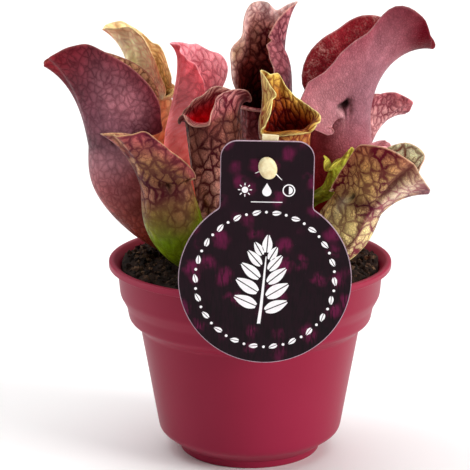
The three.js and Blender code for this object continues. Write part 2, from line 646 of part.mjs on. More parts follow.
// The flat leg, or with a clearance the hole that it stands in, about the button's place
function stakeLeg(clearance) {
  const lowered = STAKE_FRONT.map(([y, z], i) => (i === 0 ? [y, z - clearance] : [y, z]));
  const offset = (distance) => lowered.map(([y, z], i) => {
    const [y0, z0] = lowered[Math.max(i - 1, 0)];
    const [y1, z1] = lowered[Math.min(i + 1, lowered.length - 1)];
    const along = new THREE.Vector2(y1 - y0, z1 - z0).normalize();
    return new THREE.Vector2(y + distance * along.y, z - distance * along.x);
  });
  const outline = [...offset(-clearance), ...offset(STAKE_THICK + clearance).reverse()];
  const width = STAKE_WIDTH + 2 * clearance;
  const leg = new THREE.ExtrudeGeometry(new THREE.Shape(outline), {
    depth: width, bevelEnabled: false,
  });
  // the side view's y and height become Y and Z, and the depth becomes X
  leg.applyMatrix4(new THREE.Matrix4().set(
    0, 0, 1, -width / 2,
    1, 0, 0, 0,
    0, 1, 0, -BUTTON.height,
    0, 0, 0, 1,
  ));
  leg.rotateY(STAKE_LEAN * DEG);
  return toSolid(welded(leg));
}

function stakeGeometry() {
  const face = STAKE_FRONT[STAKE_FRONT.length - 1][0];
  const headBack = CARD.back - CARD.thickness - GAP;
  const front = headBack - BUTTON.thick;
  const edge = headBack - BUTTON.thick * EDGE_DEPTH;
  const neck = ovalRod(NECK_WIDTH, NECK_TALL, face + BITE, edge, NECK_SIDES);
  const head = ovalRod(BUTTON.width, BUTTON.tall, headBack, edge, BUTTON_SIDES);
  const dome = ovalRod(BUTTON.width * DOME, BUTTON.tall * DOME, headBack, front, BUTTON_SIDES);
  head.rotateY(-BUTTON.tilt * DEG);
  dome.rotateY(-BUTTON.tilt * DEG);
  const whole = stakeLeg(0).add(toSolid(neck)).add(toSolid(head)).add(toSolid(dome));
  return fromSolid(whole);
}

// The assembly

const plant = new THREE.Group();

function addPiece(parent, name, geometry, colour, roughness) {
  const material = new THREE.MeshStandardMaterial({ color: colour, roughness, metalness: 0 });
  const mesh = new THREE.Mesh(geometry, material);
  mesh.name = name;
  parent.add(mesh);
  return mesh;
}

addPiece(plant, 'pot', potGeometry(), COLOURS.pot, 0.35);

const crownHole = new THREE.SphereGeometry(1, 16, 10);
const crownHoleRadius = CROWN_RADIUS * CROWN_LUMP + GAP;
crownHole.scale(crownHoleRadius, crownHoleRadius, (CROWN_TOP - CROWN_BOTTOM) / 2 + 2 * GAP);
crownHole.translate(0, 0, (CROWN_TOP + CROWN_BOTTOM) / 2);
const stakeHole = stakeLeg(GAP).translate([BUTTON.x, 0, BUTTON.height]);

let soil = toSolid(soilGeometry()).subtract(toSolid(welded(crownHole)))
  .subtract(stakeHole);
for (const leaf of LEAVES) soil = soil.subtract(socketSolid(leaf));
addPiece(plant, 'soil', fromSolid(soil), COLOURS.soil, 0.95);
addPiece(plant, 'crown', crownGeometry(), COLOURS.crown, 0.8);

for (const leaf of LEAVES) {
  addPiece(plant, leaf.name, leafGeometry(leaf), leaf.colour, 0.5);
}

const label = new THREE.Group();
label.position.set(BUTTON.x, 0, BUTTON.height);
label.rotation.y = CARD.roll * DEG;
plant.add(label);
const card = addPiece(label, 'label_card', cardGeometry(), COLOURS.card, 0.6);
card.position.set(CARD.x - BUTTON.x, 0, CARD.discHeight - BUTTON.height);
const stick = addPiece(plant, 'label_stake', stakeGeometry(), COLOURS.stake, 0.6);
stick.position.set(BUTTON.x, 0, BUTTON.height);

export default plant;
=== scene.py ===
"""A pitcher plant in a raspberry grower pot, with a hang-on label card on a stake.

Sizes in the tables are millimetres, and every mesh is made in metres where the frame has it.
"""
import math
from types import SimpleNamespace

import bmesh
import bpy
import numpy as np
from mathutils import Matrix, Vector


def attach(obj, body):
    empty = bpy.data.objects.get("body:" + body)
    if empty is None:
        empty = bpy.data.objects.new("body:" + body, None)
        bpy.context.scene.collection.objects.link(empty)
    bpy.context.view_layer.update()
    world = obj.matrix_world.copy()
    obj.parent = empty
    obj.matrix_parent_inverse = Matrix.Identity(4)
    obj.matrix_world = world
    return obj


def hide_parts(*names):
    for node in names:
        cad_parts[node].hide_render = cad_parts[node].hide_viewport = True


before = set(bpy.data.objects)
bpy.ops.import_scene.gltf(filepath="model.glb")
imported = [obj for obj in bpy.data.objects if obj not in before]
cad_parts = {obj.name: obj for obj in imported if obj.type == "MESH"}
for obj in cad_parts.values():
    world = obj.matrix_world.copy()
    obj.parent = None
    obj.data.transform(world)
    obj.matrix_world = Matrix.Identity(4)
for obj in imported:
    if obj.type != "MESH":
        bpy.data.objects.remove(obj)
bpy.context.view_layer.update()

MM = 0.001
TAU = 2 * math.pi


# Colours are written as they look on a screen, 0 to 255, and turned to linear values.

def linear(rgb):
    c = np.asarray(rgb, float) / 255
    return np.where(c <= 0.04045, c / 12.92, ((c + 0.055) / 1.055) ** 2.4)


def paint(rgb):
    return (*linear(rgb), 1.0)


# Shader helpers

def feed(tree, slot, value):
    """Links the slot to another node's socket, or gives it a value of its own."""
    if isinstance(value, bpy.types.NodeSocket):
        tree.links.new(value, slot)
    else:
        slot.default_value = value


def node(tree, kind, settings=None, **inputs):
    """One node. Input names are written with _ for a space; a value may be another socket."""
    made = tree.nodes.new(kind)
    for key, value in (settings or {}).items():
        setattr(made, key, value)
    for key, value in inputs.items():
        feed(tree, made.inputs[key.replace("_", " ")], value)
    return made


def feed_all(tree, slots, values):
    for slot, value in zip(slots, values):
        feed(tree, slot, value)


def number(tree, operation, *values, clamp=False):
    """Arithmetic on numbers or sockets."""
    made = node(tree, "ShaderNodeMath", {"operation": operation, "use_clamp": clamp})
    feed_all(tree, made.inputs, values)
    return made.outputs[0]


def vector(tree, operation, *values):
    made = node(tree, "ShaderNodeVectorMath", {"operation": operation})
    feed_all(tree, made.inputs, values)
    return made.outputs[0]


def fade(tree, value, start, end, low=0.0, high=1.0):
    """Low where the value is at start, high where it is at end, and smooth between them."""
    made = node(tree, "ShaderNodeMapRange", {"interpolation_type": "SMOOTHSTEP"},
                Value=value, From_Min=start, From_Max=end, To_Min=low, To_Max=high)
    return made.outputs["Result"]


def mixed(tree, factor, a, b, how="MIX"):
    """Colour a with this much of colour b."""
    made = node(tree, "ShaderNodeMix", {"data_type": "RGBA", "blend_type": how})
    feed_all(tree, (made.inputs[0], made.inputs[6], made.inputs[7]), (factor, a, b))
    return made.outputs[2]


def ramp(tree, value, stops):
    """Colour stops, each a place and a colour. The first two take the ramp's own ends."""
    made = tree.nodes.new("ShaderNodeValToRGB")
    feed(tree, made.inputs[0], value)
    for i, (place, colour) in enumerate(stops):
        if i < 2:
            stop = made.color_ramp.elements[i]
            stop.position = place
        else:
            stop = made.color_ramp.elements.new(place)
        stop.color = colour
    return made.outputs[0]


def noise(tree, place, scale, detail=2.0, rough=0.5):
    return node(tree, "ShaderNodeTexNoise", Vector=place, Scale=scale, Detail=detail,
                Roughness=rough).outputs["Fac"]


def wander(tree, place, scale, reach, detail=2.0, rough=0.5):
    """A shift that wanders from place to place, up to half this reach to either side."""
    colour = node(tree, "ShaderNodeTexNoise", Vector=place, Scale=scale, Detail=detail,
                  Roughness=rough).outputs["Color"]
    return vector(tree, "MULTIPLY", vector(tree, "SUBTRACT", colour, (0.5, 0.5, 0.5)), reach)


def object_place(tree):
    return node(tree, "ShaderNodeTexCoord").outputs["Object"]


def height_of(tree, place):
    return node(tree, "ShaderNodeSeparateXYZ", Vector=place).outputs[2]


def new_material(name, roughness, **sockets):
    material = bpy.data.materials.new(name)
    material.use_nodes = True
    tree = material.node_tree
    tree.nodes.clear()
    shader = node(tree, "ShaderNodeBsdfPrincipled", Roughness=roughness, **sockets)
    node(tree, "ShaderNodeOutputMaterial", Surface=shader.outputs[0])
    return material, tree, shader


def relief(tree, shader, height, depth, strength):
    bump = node(tree, "ShaderNodeBump", Height=height, Distance=depth, Strength=strength)
    feed(tree, shader.inputs["Normal"], bump.outputs[0])


# Mesh helpers

def in_scene(name, data):
    made = bpy.data.objects.new(name, data)
    bpy.context.scene.collection.objects.link(made)
    return made


def mesh_object(name, points, faces, material, smooth=True):
    mesh = bpy.data.meshes.new(name)
    mesh.from_pydata([tuple(p) for p in points], [], [tuple(int(i) for i in f) for f in faces])
    mesh.validate()
    mesh.update()
    mesh.polygons.foreach_set("use_smooth", [smooth] * len(mesh.polygons))
    mesh.materials.append(material)
    return in_scene(name, mesh)


def face_outward(mesh):
    """Flips a closed mesh's faces if they point inward."""
    work = bmesh.new()
    work.from_mesh(mesh)
    volume = work.calc_volume(signed=True)
    work.free()
    if volume <= 0:
        mesh.flip_normals()


def row_quads(rows, n):
    """Quads between closed rows of n points, one row after another."""
    j = np.arange(n)
    k = (j + 1) % n
    return np.concatenate([np.stack([i * n + j, (i + 1) * n + j, (i + 1) * n + k, i * n + k], 1)
                           for i in range(rows - 1)])


def settled(piece, name):
    """The piece as a plain mesh, with its modifiers worked in."""
    bpy.context.view_layer.update()
    graph = bpy.context.evaluated_depsgraph_get()
    mesh = bpy.data.meshes.new_from_object(piece.evaluated_get(graph))
    bpy.data.objects.remove(piece)
    mesh.name = name
    return in_scene(name, mesh)


def stand_for(piece, part):
    """Shows the piece in place of this part, on the root body."""
    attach(piece, "root")
    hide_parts(part)


def add_to(piece):
    """Shows the piece beside what stands for this part."""
    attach(piece, "root")


# Camera, light and floor

CAMERA_PLACE = (-0.0048, -0.5785, 0.2193)   # metres
CAMERA_TILT = 75.57             # degrees up from straight down
CAMERA_LENS = 143.83            # millimetres, for a picture 36 wide
FLOOR_HALF = 20                 # metres
WORLD_LIGHT = 0.16

camera = in_scene("camera", bpy.data.cameras.new("camera"))
camera.location = CAMERA_PLACE
camera.rotation_euler = (math.radians(CAMERA_TILT), 0, 0)
camera.data.lens = CAMERA_LENS
camera.data.sensor_width = 36
camera.data.clip_start = 0.01
bpy.context.scene.camera = camera
bpy.context.scene.view_settings.view_transform = "Standard"


def soft_light(name, place, spread, strength, colour=(1, 1, 1)):
    """A broad light shining from this side toward the plant; its spread is in degrees."""
    data = bpy.data.lights.new(name, "SUN")
    data.angle = math.radians(spread)
    data.energy = strength
    data.color = colour
    light = in_scene(name, data)
    light.location = place
    light.rotation_euler = (-Vector(place)).to_track_quat("-Z", "Y").to_euler()


soft_light("key", (0.9, -0.45, 0.33), 28, 2.9, (1, 0.99, 0.97))
soft_light("overhead", (-0.05, 0.3, 1.0), 90, 2.6)
soft_light("side", (-0.9, 0.25, 0.3), 40, 0.8)

world = bpy.data.worlds.new("studio")
world.use_nodes = True
sky = world.node_tree.nodes["Background"]
sky.inputs["Color"].default_value = (1, 1, 1, 1)
sky.inputs["Strength"].default_value = WORLD_LIGHT
bpy.context.scene.world = world

floor_finish = new_material("studio_floor", 0.9, Base_Color=(0.97, 0.97, 0.97, 1))[0]
floor = mesh_object("studio_floor", [(FLOOR_HALF * x, FLOOR_HALF * y, 0)
                                     for x, y in ((-1, -1), (1, -1), (1, 1), (-1, 1))],
                    [(0, 1, 2, 3)], floor_finish)


# Leaves

BLADE = 0.6                     # thickness of the leaf wall
EDGE_SHARE = 0.6                # of that thickness, left at the hood's edge
EDGE_ROUND = 0.12               # how far the edge bulges past its two walls
TUBE_ROWS = 44
HOOD_ROWS = 48
STEPS = 5                       # steps along a growth line from one row to the next
BEARING_GAP = 3.2               # degrees
HOLLOW_FROM = 12                # the tube's inside starts at this row
KEEL_SPREAD = 8                 # degrees
KEEL_FADE = 0.7                 # power by which the keel fades toward foot and mouth
SHORTEST_LINE = 0.8             # no growth line is shorter
LIP_LINE, LIP_BLEND = 4.5, 2.5  # a growth line shorter than the first rolls out as a lip
LIP_ROLL = 95                   # degrees that the lip rolls outward
LIP_EXTRA = 0.5                 # share by which the lip is longer than its growth line
FOLD_FROM, FOLD = 70, 0.6       # a sweep past the first folds outward by this share of the rest
FOLD_FADE = 3                   # power by which the fold fades along a growth line
SWEEP_START = 0.35              # power by which the sweep sets in, early on each line
WAVES = [(0.7, 8, 1), (0.35, 17, 2)]   # each height, its waves round the edge and its shift
WAVE_FROM, WAVE_BLEND = 4, 12   # growth line's length at which waves start, and then grow over
WAVE_GROWTH = 2.2               # power by which the waves grow toward the edge
WAVE_SHIFT = 57                 # so many degrees of the leaf's bearing shift them by a radian
EDGE_LINE = 0.4                 # width of the pale line along the hood's edge
EDGE_PALE, EDGE_CLEAR = 0.7, 0.8   # how pale that line is, and how far its veins are faded
PEAK_SLOPE = 0.3                # share of the slope left where a curve turns back
FLATTEST = 0.3                  # least share of a gap that counts as a way across the skin
CELL_TONE, CLOUD_TONE = 0.53, 0.7   # brightness from the cells, and from the cloudy noise

# A leaf's spine is the middle line of its tube from the foot to the mouth, and its girth is the
# tube's half width and half depth along it. Back is the bearing of its back, in degrees from
# +X. From the mouth the hood grows along lines: each has its bearing, counted from the back,
# its length, how far it flares outward and how far it sweeps round to the front. Curl says how
# late the flare comes, lean tips the whole hood back, and wing is the height of the keel.
# Colour stops run from the foot, 0, over the mouth, 1, to the hood's edge, 2. Each gives the
# tissue, its veins and how strongly the veins show. A patch is a side, a bearing, a place,
# its two radii, a tissue colour, a vein colour and how much of it there is; a few patches are
# painted shade in the holes and creases by the mouth, in a fold of a hood and on a belly, and
# one a painted highlight on a hole's rim. Hairs and glint are the same without the colours:
# pale hairs with the glint of light on them painted in. A dent is a bearing, a place, its two
# radii and its height, less than 0 inward. Blush brightens the tissue here and there, and edge
# is the colour of the hood's edge. A cell of the veins is so many millimetres wide and
# stretched along the leaf, in an even net or in one that follows the blade. Width and fine are
# its thick and thin lines, halo and grain the darkening beside and between them, swing the
# change of tone from cell to cell, and puff how far the cells swell. What a leaf leaves out is
# as in PLAIN_LEAF.
# Colour of the pale hairs, with the glint of light on them painted in.
HAIRS_AND_GLINT = paint((234, 170, 160))
PLAIN_LEAF = dict(patches=(), dents=(), hairs_and_glint=(), even=False, swing=0.25)
NARROW_LIP = [(145, 1.5, 100, 20), (180, 1.5, 110, 0), (-145, 1.5, 100, 20)]
LEAVES = [
    dict(
        name="left_large",
        back=184, curl=1.8, lean=0, wing=2,
        spine=[(-9, -1, 61), (-21.5, 0.5, 68.3), (-32.6, 1, 78), (-41, 0, 89.5), (-43, 0, 101)],
        girth=[(2.3, 2.3), (6.6, 6), (10, 8.6), (9.9, 9.1), (7.6, 8)],
        hood=[
            (0, 29.5, 51, 0), (15, 31, 44, 0), (30, 32, 34, 0), (50, 33.5, 22, 5),
            (65, 32.5, 14, 11), (76, 29, 12, 22), (84, 25.5, 12, 38), (91, 22, 13, 57),
            (98, 18.5, 13, 80), (105, 15.5, 14, 96), (113, 13.5, 18, 112), (121, 9, 30, 116),
            (130, 4, 55, 70), (145, 1.5, 75, 20), (180, 1.5, 90, 0), (-142, 1.5, 75, 20),
            (-122, 5, 40, 70), (-106, 15, 18, 84), (-92, 22.5, 16, 60), (-78, 26, 18, 28),
            (-55, 29.5, 28, 5), (-30, 30.5, 38, 0),
        ],
        outside=[
            (0, (96, 40, 24), (70, 20, 14), 0.5), (0.42, (126, 50, 36), (84, 18, 14), 0.8),
            (0.6, (130, 58, 52), (92, 26, 22), 0.7), (0.75, (160, 88, 90), (114, 48, 54), 0.6),
            (0.88, (176, 120, 128), (130, 74, 84), 0.6),
            (1.0, (116, 78, 86), (74, 38, 46), 0.6), (1.3, (120, 70, 82), (76, 28, 42), 0.65),
            (1.7, (112, 48, 58), (68, 12, 24), 0.7), (2, (120, 30, 42), (68, 6, 18), 0.7),
        ],
        inside=[
            (0, (60, 16, 18), (30, 5, 8), 1), (1, (120, 54, 48), (60, 12, 16), 1),
            (1.5, (170, 116, 84), (80, 14, 18), 1), (2, (214, 166, 122), (84, 14, 18), 1),
        ],
        patches=[
            ("outside", 80, 1.4, 22, 0.45, (130, 86, 100), (104, 64, 78), 0.6),
            ("outside", 84, 1.55, 20, 0.3, (172, 110, 120), (100, 38, 52), 0.85),
            ("outside", 0, 2.03, 32, 0.25, (132, 14, 28), (84, 2, 12), 1),
            ("inside", 0, 2.0, 40, 0.3, (132, 14, 28), (84, 2, 12), 1),
            # Painted shade in the dark hole of the ear fold and in the crease beside it, over the dents
            # there.
            ("outside", 88, 1.06, 5, 0.06, (22, 4, 6), (12, 2, 4), 1),
            ("outside", 76, 1.08, 14, 0.07, (72, 34, 40), (46, 16, 22), 0.7),
        ],
        dents=[(88, 1.06, 8, 0.08, -2.2), (74, 1.1, 14, 0.07, -0.9), (100, 1.45, 16, 0.25, 1.2)],
        blush=(1.25, 1.2, 1.2), edge=(150, 84, 84), cell=2.0, stretch=1.2, even=True,
        width=0.08, fine=0.45, halo=0.6, grain=0.3, puff=0.16,
    ),
    dict(
        name="right_large",
        back=-6, curl=1.5, lean=5, wing=2,
        spine=[(9, 0.5, 61), (16, 4, 68), (24.5, 5, 79), (28, 4, 94), (28.2, 4, 109)],
        girth=[(2.3, 2.3), (5, 5), (8.6, 8.8), (10.2, 10), (9.4, 9.7)],
        hood=[
            (0, 31.2, 98, 0), (-15, 33.4, 87, 0), (-30, 38.2, 63, 0), (-45, 38, 38, 0),
            (-54, 32, 26, 0), (-60, 28, 22, 2), (-66, 25.5, 18, 8), (-71, 22, 14, 20),
            (-75, 18, 14, 42), (-77.5, 18.5, 14, 64), (-79.5, 17, 14, 88), (-82, 11.4, 19, 138),
            (-85, 7.8, 23, 181), (-90, 6.1, 28, 209), (-96, 4.8, 34, 226), (-106, 3.8, 43, 219),
            (-116, 4, 50, 190), (-125, 3, 60, 130),
            (-144, 1.5, 75, 20), (180, 1.5, 90, 0), (142, 1.5, 75, 20), (120, 4, 40, 80),
            (104, 12, 10, 80), (92, 20.8, 0, 50), (83, 24.2, 0, 33), (74, 26, 2, 22),
            (66, 28.4, 4, 15), (55, 30, 10, 8), (40, 30, 26, 3), (22, 32.5, 64, 0),
        ],
        outside=[
            (0, (156, 28, 38), (108, 8, 18), 0.6), (0.55, (210, 52, 66), (156, 14, 30), 0.7),
            (0.8, (172, 92, 102), (122, 46, 58), 0.5), (1.0, (164, 106, 118), (124, 72, 84), 0.5),
            (1.3, (168, 110, 122), (128, 78, 90), 0.5), (1.7, (182, 110, 122), (140, 74, 86), 0.5),
            (2, (176, 88, 102), (128, 48, 62), 0.5),
        ],
        inside=[
            (0, (60, 6, 12), (30, 2, 5), 1), (1, (116, 14, 24), (70, 2, 8), 1),
            (1.4, (150, 20, 38), (86, 2, 14), 0.9), (2, (176, 40, 52), (104, 6, 22), 0.85),
        ],
        patches=[
            ("outside", -2, 2.1, 36, 0.33, (112, 0, 24), (72, 0, 12), 1.7),
            ("inside", 0, 2.0, 30, 0.25, (116, 4, 26), (70, 2, 12), 1),
            ("outside", -92, 1.6, 16, 0.5, (230, 160, 166), (166, 96, 106), 0.85),
            # Painted shade: the belly darker on its lower front side.
            ("outside", -150, 0.6, 60, 0.6, (170, 36, 46), (116, 10, 20), 0.85),
            # Painted shade in the hole of the ear fold and in the crease beside it, and a painted
            # highlight on the hole's rim.
            ("outside", -74, 1.24, 3.4, 0.05, (10, 2, 2), (6, 0, 2), 2.5),
            ("outside", -74.5, 1.12, 2.2, 0.12, (70, 26, 34), (50, 14, 22), 1.2),
            ("outside", -79.5, 1.12, 2, 0.12, (236, 176, 180), (206, 140, 146), 0.9),
        ],
        hairs_and_glint=[("inside", 90, 1.9, 12, 0.16, 1), ("inside", 42, 2.0, 16, 0.12, 1),
               ("inside", 62, 1.75, 40, 0.35, 0.22)],
        dents=[(-74, 1.24, 5, 0.06, -2.0), (-70, 1.12, 5, 0.12, -1.0)],
        blush=(1.12, 1.12, 1.12), edge=(206, 150, 150), cell=0.9, stretch=1.3, even=True,
        width=0.05, fine=0.2, halo=0.35, grain=0.5, swing=0.1, puff=0.1,
    ),
    dict(
        name="left_front",
        back=205, curl=1.5, lean=8, wing=1.5,
        spine=[(-7.5, -6.5, 61), (-12.5, -13, 65), (-19.5, -19.5, 71.5), (-24, -23, 81),
               (-25.9, -23.5, 93)],
        girth=[(2.2, 2.2), (4, 3.8), (6.8, 6.6), (8.6, 8.4), (7.4, 7.7)],
        hood=[
            (0, 21, 48, 0), (20, 20, 36, 0), (40, 19.5, 26, 2), (58, 19, 18, 6),
            (72, 15, 12, 12), (83, 11, 10, 25), (91, 8.5, 12, 52), (99, 7, 18, 90),
            (108, 5, 30, 110), (120, 2, 60, 60), *NARROW_LIP,
            (-122, 2, 60, 60), (-105, 6, 20, 80), (-90, 10, 14, 40),
            (-65, 15, 16, 10), (-35, 18, 30, 0),
        ],
        outside=[
            (0, (88, 112, 4), (56, 60, 4), 0.2), (0.7, (98, 114, 8), (62, 50, 6), 0.35),
            (0.83, (134, 108, 52), (80, 34, 22), 0.75), (0.95, (166, 108, 88), (76, 14, 28), 0.9),
            (1.1, (142, 94, 66), (62, 6, 22), 1), (1.45, (156, 104, 76), (72, 6, 32), 1),
            (1.75, (166, 90, 84), (80, 8, 34), 1), (2, (160, 70, 84), (84, 8, 34), 1),
        ],
        inside=[
            (0, (60, 46, 16), (30, 6, 6), 1), (1, (120, 76, 44), (64, 10, 14), 1),
            (2, (196, 142, 112), (104, 26, 38), 1),
        ],
        patches=[
            # Painted shade in the dark hole of the ear fold and in the crease beside it, over the dents
            # there.
            ("outside", 78, 1.03, 6, 0.07, (30, 8, 8), (14, 2, 4), 1),
            ("outside", 62, 1.08, 12, 0.06, (84, 40, 30), (50, 8, 12), 0.7),
            ("outside", 92, 0.84, 24, 0.12, (170, 116, 84), (80, 20, 26), 0.6),
            ("outside", 12, 1.6, 7, 0.5, (200, 156, 116), (110, 44, 44), 0.85),
        ],
        dents=[(78, 1.03, 8, 0.07, -2.0), (60, 1.1, 12, 0.06, -0.8), (95, 1.25, 10, 0.15, 0.8)],
        blush=(1.1, 1.25, 1.0), edge=(190, 150, 116), cell=3.4, stretch=1.2, even=True,
        width=0.15, fine=0.85, halo=0.5, grain=0.3, puff=0.3,
    ),
    dict(
        name="right_front",
        back=-32, curl=1.3, lean=12, wing=1.5,
        spine=[(9.5, -4.8, 61), (15, -11.5, 65.5), (23, -17.5, 70.5), (28.5, -22, 78),
               (32.8, -24, 87)],
        girth=[(2.2, 2.2), (4.2, 4), (6.8, 6.8), (8.1, 8.3), (7.4, 7.8)],
        hood=[
            (0, 18.5, 58, 0), (-20, 21, 44, 0), (-40, 23, 27, 0), (-52, 24.5, 18, 6),
            (-64, 25, 12, 18), (-74, 24.2, 9, 29), (-81, 22.6, 8, 37), (-87, 20.6, 8, 40),
            (-93, 17.5, 9, 44), (-99, 13, 13, 52), (-106, 8, 22, 75), (-113, 5, 32, 105),
            (-121, 3.5, 46, 110), (-130, 2.5, 60, 80),
            (-146, 1.5, 75, 20), (180, 1.5, 90, 0), (145, 1.5, 75, 20), (122, 2, 60, 60),
            (105, 9, 20, 76), (88, 16.5, 8, 40), (70, 22.5, 4, 21), (54, 22, 8, 11),
            (40, 18, 16, 4), (26, 12, 28, 0), (12, 14.5, 44, 0),
        ],
        outside=[
            (0, (190, 180, 90), (120, 50, 30), 0.7), (0.4, (255, 240, 160), (136, 50, 56), 0.95),
            (0.7, (255, 232, 160), (112, 34, 50), 1), (1.0, (200, 168, 110), (84, 10, 34), 1),
            (1.3, (206, 164, 104), (86, 10, 34), 1), (1.7, (188, 136, 84), (86, 6, 28), 1),
            (2, (184, 108, 82), (98, 12, 28), 1),
        ],
        inside=[
            (0, (80, 46, 24), (40, 6, 6), 1), (1, (150, 104, 60), (70, 14, 16), 1),
            (1.6, (255, 240, 190), (120, 56, 46), 0.95), (2, (255, 252, 214), (120, 56, 46), 0.95),
        ],
        patches=[
            ("outside", -22, 1.6, 19, 0.6, (255, 236, 210), (186, 104, 114), 1),
            ("outside", 0, 2.0, 18, 0.22, (140, 62, 84), (92, 30, 52), 0.9),
            # Painted shade in the hole of the ear fold and in the crease just above the mouth beside it.
            ("outside", -92, 1.16, 6, 0.08, (34, 8, 8), (14, 2, 4), 1),
            ("outside", -60, 1.12, 24, 0.12, (96, 46, 34), (50, 4, 16), 0.9),
            ("outside", -42, 0.95, 5, 0.3, (122, 52, 62), (90, 22, 44), 0.85),
            # Painted shade along the fold in the hood, over the dent there.
            ("outside", -45, 1.6, 3, 0.5, (100, 34, 38), (70, 10, 20), 0.9),
            ("outside", -107, 1.02, 13, 0.15, (206, 196, 164), (130, 90, 84), 0.8),
        ],
        dents=[(-92, 1.16, 7, 0.09, -2.2), (-45, 1.65, 4, 0.4, -1.1), (-70, 1.5, 14, 0.3, 1.2),
               (-42, 0.9, 6, 0.25, 0.8)],
        blush=(1.15, 1.2, 1.05), edge=(230, 176, 146), cell=3.1, stretch=1.15, even=True,
        width=0.15, fine=0.9, halo=0.5, grain=0.2, puff=0.3,
    ),
    dict(
        name="centre_left",
        back=35, curl=1.5, lean=0, wing=1.5,
        spine=[(-2, -8, 61), (-4, -8.7, 69), (-8.5, -10.8, 80), (-10, -12.7, 95),
               (-11.6, -12.7, 110)],
        girth=[(2.2, 2.2), (4, 4), (7, 6.6), (8.6, 8.2), (8.4, 8.6)],
        hood=[
            (0, 6.6, 120, 0), (20, 7.8, 66, 0), (40, 8.8, 14, 0), (55, 8.5, 0, 0), (72, 7, -16, 5),
            (88, 6, -10, 20), (104, 3, 20, 50), (125, 2, 60, 40), (150, 1.5, 100, 20),
            (180, 4, 50, 0), (-150, 1.5, 100, 20), (-128, 2, 60, 20), (-114, 5, -10, 10),
            (-100, 8, -42, 8), (-80, 9.5, -46, 4), (-60, 9.3, -22, 0), (-42, 8.8, 34, 0), (-22, 7, 116, 0),
        ],
        outside=[
            (0, (130, 80, 66), (60, 14, 20), 0.9), (0.3, (214, 152, 142), (92, 22, 36), 1),
            (0.7, (214, 154, 136), (88, 20, 32), 1), (0.95, (190, 126, 104), (72, 10, 20), 1),
            (1.15, (160, 100, 80), (72, 8, 20), 1), (1.5, (176, 96, 98), (78, 8, 24), 1),
            (2, (214, 142, 138), (104, 26, 40), 0.95),
        ],
        inside=[
            (0, (120, 2, 12), (70, 0, 6), 1), (1, (246, 16, 34), (200, 2, 16), 0.6),
            (1.6, (180, 60, 66), (96, 8, 22), 1), (2, (226, 172, 156), (120, 36, 44), 0.9),
        ],
        patches=[
            ("outside", -130, 1.0, 50, 0.2, (120, 62, 58), (52, 6, 16), 0.9),
            ("outside", -10, 1.5, 40, 0.7, (170, 108, 112), (104, 46, 58), 0.8),
        ],
        blush=(1.15, 1.05, 1.05), edge=(210, 164, 146), cell=2.9, stretch=1.3,
        width=0.15, fine=0.85, halo=0.6, grain=0.25, puff=0.3,
    ),
    dict(
        name="coral",
        back=188, curl=4, lean=-16, wing=1.5,
        spine=[(-7.5, 6, 61), (-13, 10.3, 67), (-17.8, 12, 77), (-21.5, 10.5, 90),
               (-22, 8.5, 103)],
        girth=[(2.2, 2.2), (3.8, 3.6), (6.2, 6.2), (6.3, 6.3), (5, 5)],
        hood=[
            (0, 31, 52, 0), (14, 30, 34, 0), (30, 27.5, 20, 0), (44, 25.5, 12, 0), (60, 23, 8, 6),
            (76, 19, 6, 14), (88, 14, 4, 24), (98, 10, 6, 40), (108, 7, 16, 56),
            (120, 3.5, 40, 50),
            (145, 1.5, 75, 20), (180, 1.5, 90, 0), (-145, 1.5, 75, 20), (-124, 4, 40, 50),
            (-110, 12, 10, 56), (-94, 21, 4, 44), (-80, 24.5, 2, 30), (-70, 25, 0, 20),
            (-56, 27, 0, 10), (-36, 28, 4, 2), (-14, 30, 34, 0),
        ],
        outside=[
            (0, (176, 88, 54), (130, 44, 30), 0.3), (0.6, (255, 122, 100), (214, 70, 62), 0.35),
            (0.9, (255, 124, 118), (224, 70, 74), 0.25), (1.1, (255, 142, 146), (250, 104, 114), 0.2),
            (1.5, (255, 140, 148), (244, 108, 118), 0.2), (2, (250, 100, 112), (226, 76, 90), 0.25),
        ],
        inside=[
            (0, (110, 16, 24), (60, 4, 12), 1), (1, (140, 12, 30), (96, 0, 14), 0.9),
            (1.35, (176, 40, 60), (124, 10, 30), 0.9), (2, (255, 172, 180), (214, 92, 112), 0.8),
        ],
        blush=(1.42, 1.32, 1.32), edge=(236, 150, 156), cell=2.4, stretch=1.2,
        width=0.08, fine=0.4, halo=0.6, grain=0.2, puff=0.08,
    ),
    dict(
        name="cream",
        back=165, curl=2.2, lean=0, wing=1.5,
        spine=[(-4, 9.5, 61), (-10.5, 20, 67), (-22, 26, 78.5), (-29.5, 24.5, 95),
               (-31.5, 23, 110.5)],
        girth=[(2.2, 2.2), (4.2, 4), (7, 7), (7, 7), (6, 6)],
        hood=[
            (0, 26, 56, 0), (25, 26.5, 40, 0), (48, 26, 26, 0), (66, 26, 16, 7),
            (78, 23.5, 12, 13), (90, 18, 10, 18), (101, 10, 14, 34), (113, 5, 25, 70),
            (125, 2, 50, 70), *NARROW_LIP, (-122, 3, 30, 60),
            (-108, 6.5, 6, 55), (-95, 9.5, 4, 36), (-84, 15.5, 4, 20), (-70, 17, 8, 12),
            (-58, 20, 14, 6), (-44, 23.5, 26, 0), (-25, 26, 38, 0),
        ],
        outside=[
            (0, (140, 116, 50), (100, 60, 30), 0.4), (0.6, (220, 160, 110), (140, 74, 56), 0.5),
            (1.0, (250, 216, 150), (196, 124, 90), 0.45), (1.4, (255, 240, 186), (240, 180, 136), 0.4),
            (1.8, (255, 236, 190), (246, 176, 140), 0.4), (2, (255, 206, 156), (224, 140, 104), 0.45),
        ],
        inside=[
            (0, (90, 56, 24), (60, 18, 12), 1), (1, (160, 124, 66), (104, 52, 30), 1),
            (1.6, (216, 188, 116), (160, 110, 60), 0.8),
            (2, (255, 226, 170), (222, 150, 110), 0.5),
        ],
        patches=[
